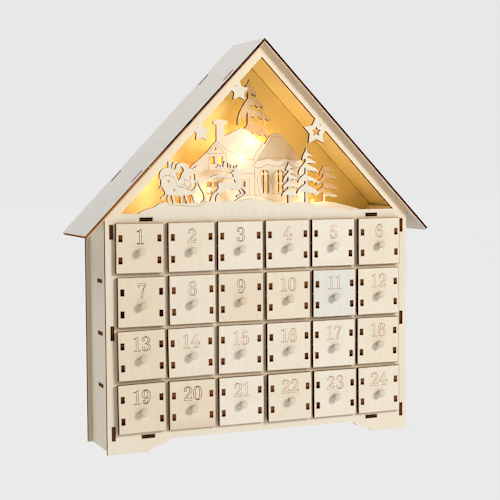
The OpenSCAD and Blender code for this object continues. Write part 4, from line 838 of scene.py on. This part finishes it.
# Lamps: a sleeve on the wire and a domed bulb, modelled once and copied. Each step of the bulb is a rise
# and the widening that follows; the shares say how strongly each lamp lights what is near it.
lamps = {"points": [3, 5, 24, 26, 30, 32, 40], "shares": [1.0, 0.88, 0.22, 0.2, 0.13, 0.1, 0.45],
         "sleeve": 1.15, "sleeveLength": 1.2, "foot": -1.2,
         "bulb": ((0.15, 1.3), (0.35, 1.137), (1.8, 1.0), (0.65, 0.93), (0.55, 0.76), (0.35, 0.56), (0.15, 0.2)),
         "glass": ("#fff1cf", "#ffe3a6"), "bright": ("#fff3d6", "#ffe9b8"), "weak": ("#8d7f60", "#5c4828"),
         "brightFrom": (258.0, 262.0), "weakestFrom": (45.0, 50.0), "strength": 5.0,
         "glow": 0.02, "glowTone": (1.0, 0.60, 0.19), "glowRise": 2.0}
selectOnly()
bpy.ops.mesh.primitive_cylinder_add(vertices=16, radius=lamps["sleeve"] * mm, depth=lamps["sleeveLength"] * mm,
                                    location=(0, 0, (lamps["foot"] + lamps["sleeveLength"] / 2) * mm))
lampModel = bpy.context.object
bpy.ops.object.transform_apply(location=True, rotation=False, scale=False)
pick(lampModel, "polygons", lambda face: face.normal.z > 0.9, "FACE")
for rise, width in lamps["bulb"]:
    bpy.ops.mesh.extrude_region_move(TRANSFORM_OT_translate={"value": (0, 0, rise * mm)})
    bpy.ops.transform.resize(value=(width, width, 1))
bpy.ops.object.mode_set(mode="OBJECT")
copies = []
for i, at in enumerate(lamps["points"]):
    copy = newObject("lampCopy%d" % i, lampModel.data.copy())
    copy.data.transform(Matrix.Translation(frontPoint(*wirePoints[at])))
    copies.append(copy)
bpy.data.objects.remove(lampModel)
selectOnly(*copies)
bpy.ops.object.join()
lampBulbs = bpy.context.object
lampBulbs.name = lampBulbs.data.name = "lamp_bulbs"
bpy.ops.object.shade_smooth_by_angle(angle=math.radians(40))
bulbGlow, tree, shader, spot = startMaterial("lit bulb")
grainy = ease(tree, noise(tree, spot, 700.0), 0.3, 0.7)
glass, bright, weak = ([srgb(tone) for tone in lamps[k]] for k in ("glass", "bright", "weak"))
x, y, z = separate(tree, spot)
# the top lamp burns brightest, and the last one on the right is weakest
weaker = blendColours(tree, fade(tree, x, *lamps["weakestFrom"]), *weak)
lit = blendColours(tree, fade(tree, z, *lamps["brightFrom"]), weaker, blendColours(tree, grainy, *bright))
feed(tree, shader, {"Base Color": blendColours(tree, grainy, *glass), "Roughness": 0.2,
                    "Emission Color": lit, "Emission Strength": lamps["strength"]})
lampBulbs.data.materials.append(bulbGlow)
lampBulbs.visible_shadow = False
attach(lampBulbs, "cabinet")
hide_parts("lamps")


def softLight(name, at, share, tone, radius):
    data = bpy.data.lights.new(name, "POINT")
    data.energy, data.color, data.shadow_soft_size = lamps["glow"] * share, tone, radius * mm
    newObject(name, data).location = frontPoint(*at)


for i, at in enumerate(lamps["points"]):
    x, y, z = wirePoints[at]
    softLight("lampLight%d" % i, (x, y, z + lamps["glowRise"]), lamps["shares"][i], lamps["glowTone"], 1.2)
# light that the walls of the attic throw back: at the left and right, on the battery case and along the snow
bounces = {"left": ((-84, 28, 230), 1.2, (1.0, 0.66, 0.56)), "right": ((80, 42, 228), 0.36, (1.0, 0.56, 0.13)),
           "case": ((22, 33, 222), 0.3, (0.86, 0.92, 1.0))}
bounces.update({"snow%d" % k: ((-50 + 18 * k, 8, 214), 0.075, (1.0, 0.95, 0.80)) for k in range(6)})
for label, (at, share, tone) in bounces.items():
    softLight("bounce_" + label, at, share, tone, 6.0)
print("wire and lamps made")

# Battery box: moulded shell, sliding lid, cells, sheet steel
battery = {"shell": ("#f4f3ef", "#e8e6df", 0.38), "housing": ("#dcdad4", "#cfccc4", 0.42),
           "slider": ("#3b3a38", "#2c2b2a", 0.35), "steel": ("#b9b8b4", "#8f8d88"), "skin": ("#5c6468", "#474e52")}


def plastic(name, tone, shade, gloss):
    made, tree, shader, spot = startMaterial(name)
    skin = place(tree, moulded, Vector=spot, Tone=srgb(tone), Shade=srgb(shade), Gloss=gloss)
    feed(tree, shader, {"Base Color": skin["Color"], "Roughness": skin["Roughness"]})
    relief(tree, shader, skin["Height"], 0.25, 0.05)
    return made


shellPlastic = plastic("case plastic", *battery["shell"])
dress("battery_case", shellPlastic)
dress("battery_lid", shellPlastic)
dress("switch_body", plastic("switch housing plastic", *battery["housing"]))
dress("switch_slider", plastic("switch slider plastic", *battery["slider"]))

brushed, tree, shader, spot = startMaterial("contact steel")
scratch = noise(tree, spot, (300, 300, 5200))
feed(tree, shader, {"Base Color": blendColours(tree, scratch, *[srgb(tone) for tone in battery["steel"]]),
                    "Roughness": ease(tree, scratch, 0.3, 0.7, 0.24, 0.42), "Metallic": 1.0})
relief(tree, shader, scratch, 0.2, 0.03)
dress("battery_contacts", brushed)

sleeve, tree, shader, spot = startMaterial("cell sleeve")
sheen = noise(tree, spot, (500, 60, 60), 3.0)
feed(tree, shader, {"Base Color": blendColours(tree, sheen, *[srgb(tone) for tone in battery["skin"]]),
                    "Roughness": ease(tree, sheen, 0.3, 0.7, 0.3, 0.4), "Coat Weight": 0.3})
dress("batteries", sleeve)
print("battery box dressed")

# The camera's own touches: bloom round the brightest spots, then a little sharpening
lensTouch = {"bloom": {"Threshold": 1.6, "Strength": 0.35, "Size": 0.35, "Smoothness": 0.3}, "sharpen": 0.085}
scene.use_nodes = True
compositor = scene.node_tree
compositor.nodes.clear()
layers = compositor.nodes.new("CompositorNodeRLayers")
bloom = compositor.nodes.new("CompositorNodeGlare")
bloom.glare_type, bloom.quality = "BLOOM", "HIGH"
feed(compositor, bloom, dict(lensTouch["bloom"], Image=layers.outputs["Image"]))
crisp = compositor.nodes.new("CompositorNodeFilter")
crisp.filter_type = "SHARPEN_DIAMOND"
feed(compositor, crisp, {"Fac": lensTouch["sharpen"], "Image": bloom.outputs["Image"]})
feed(compositor, compositor.nodes.new("CompositorNodeComposite"), {"Image": crisp.outputs["Image"]})
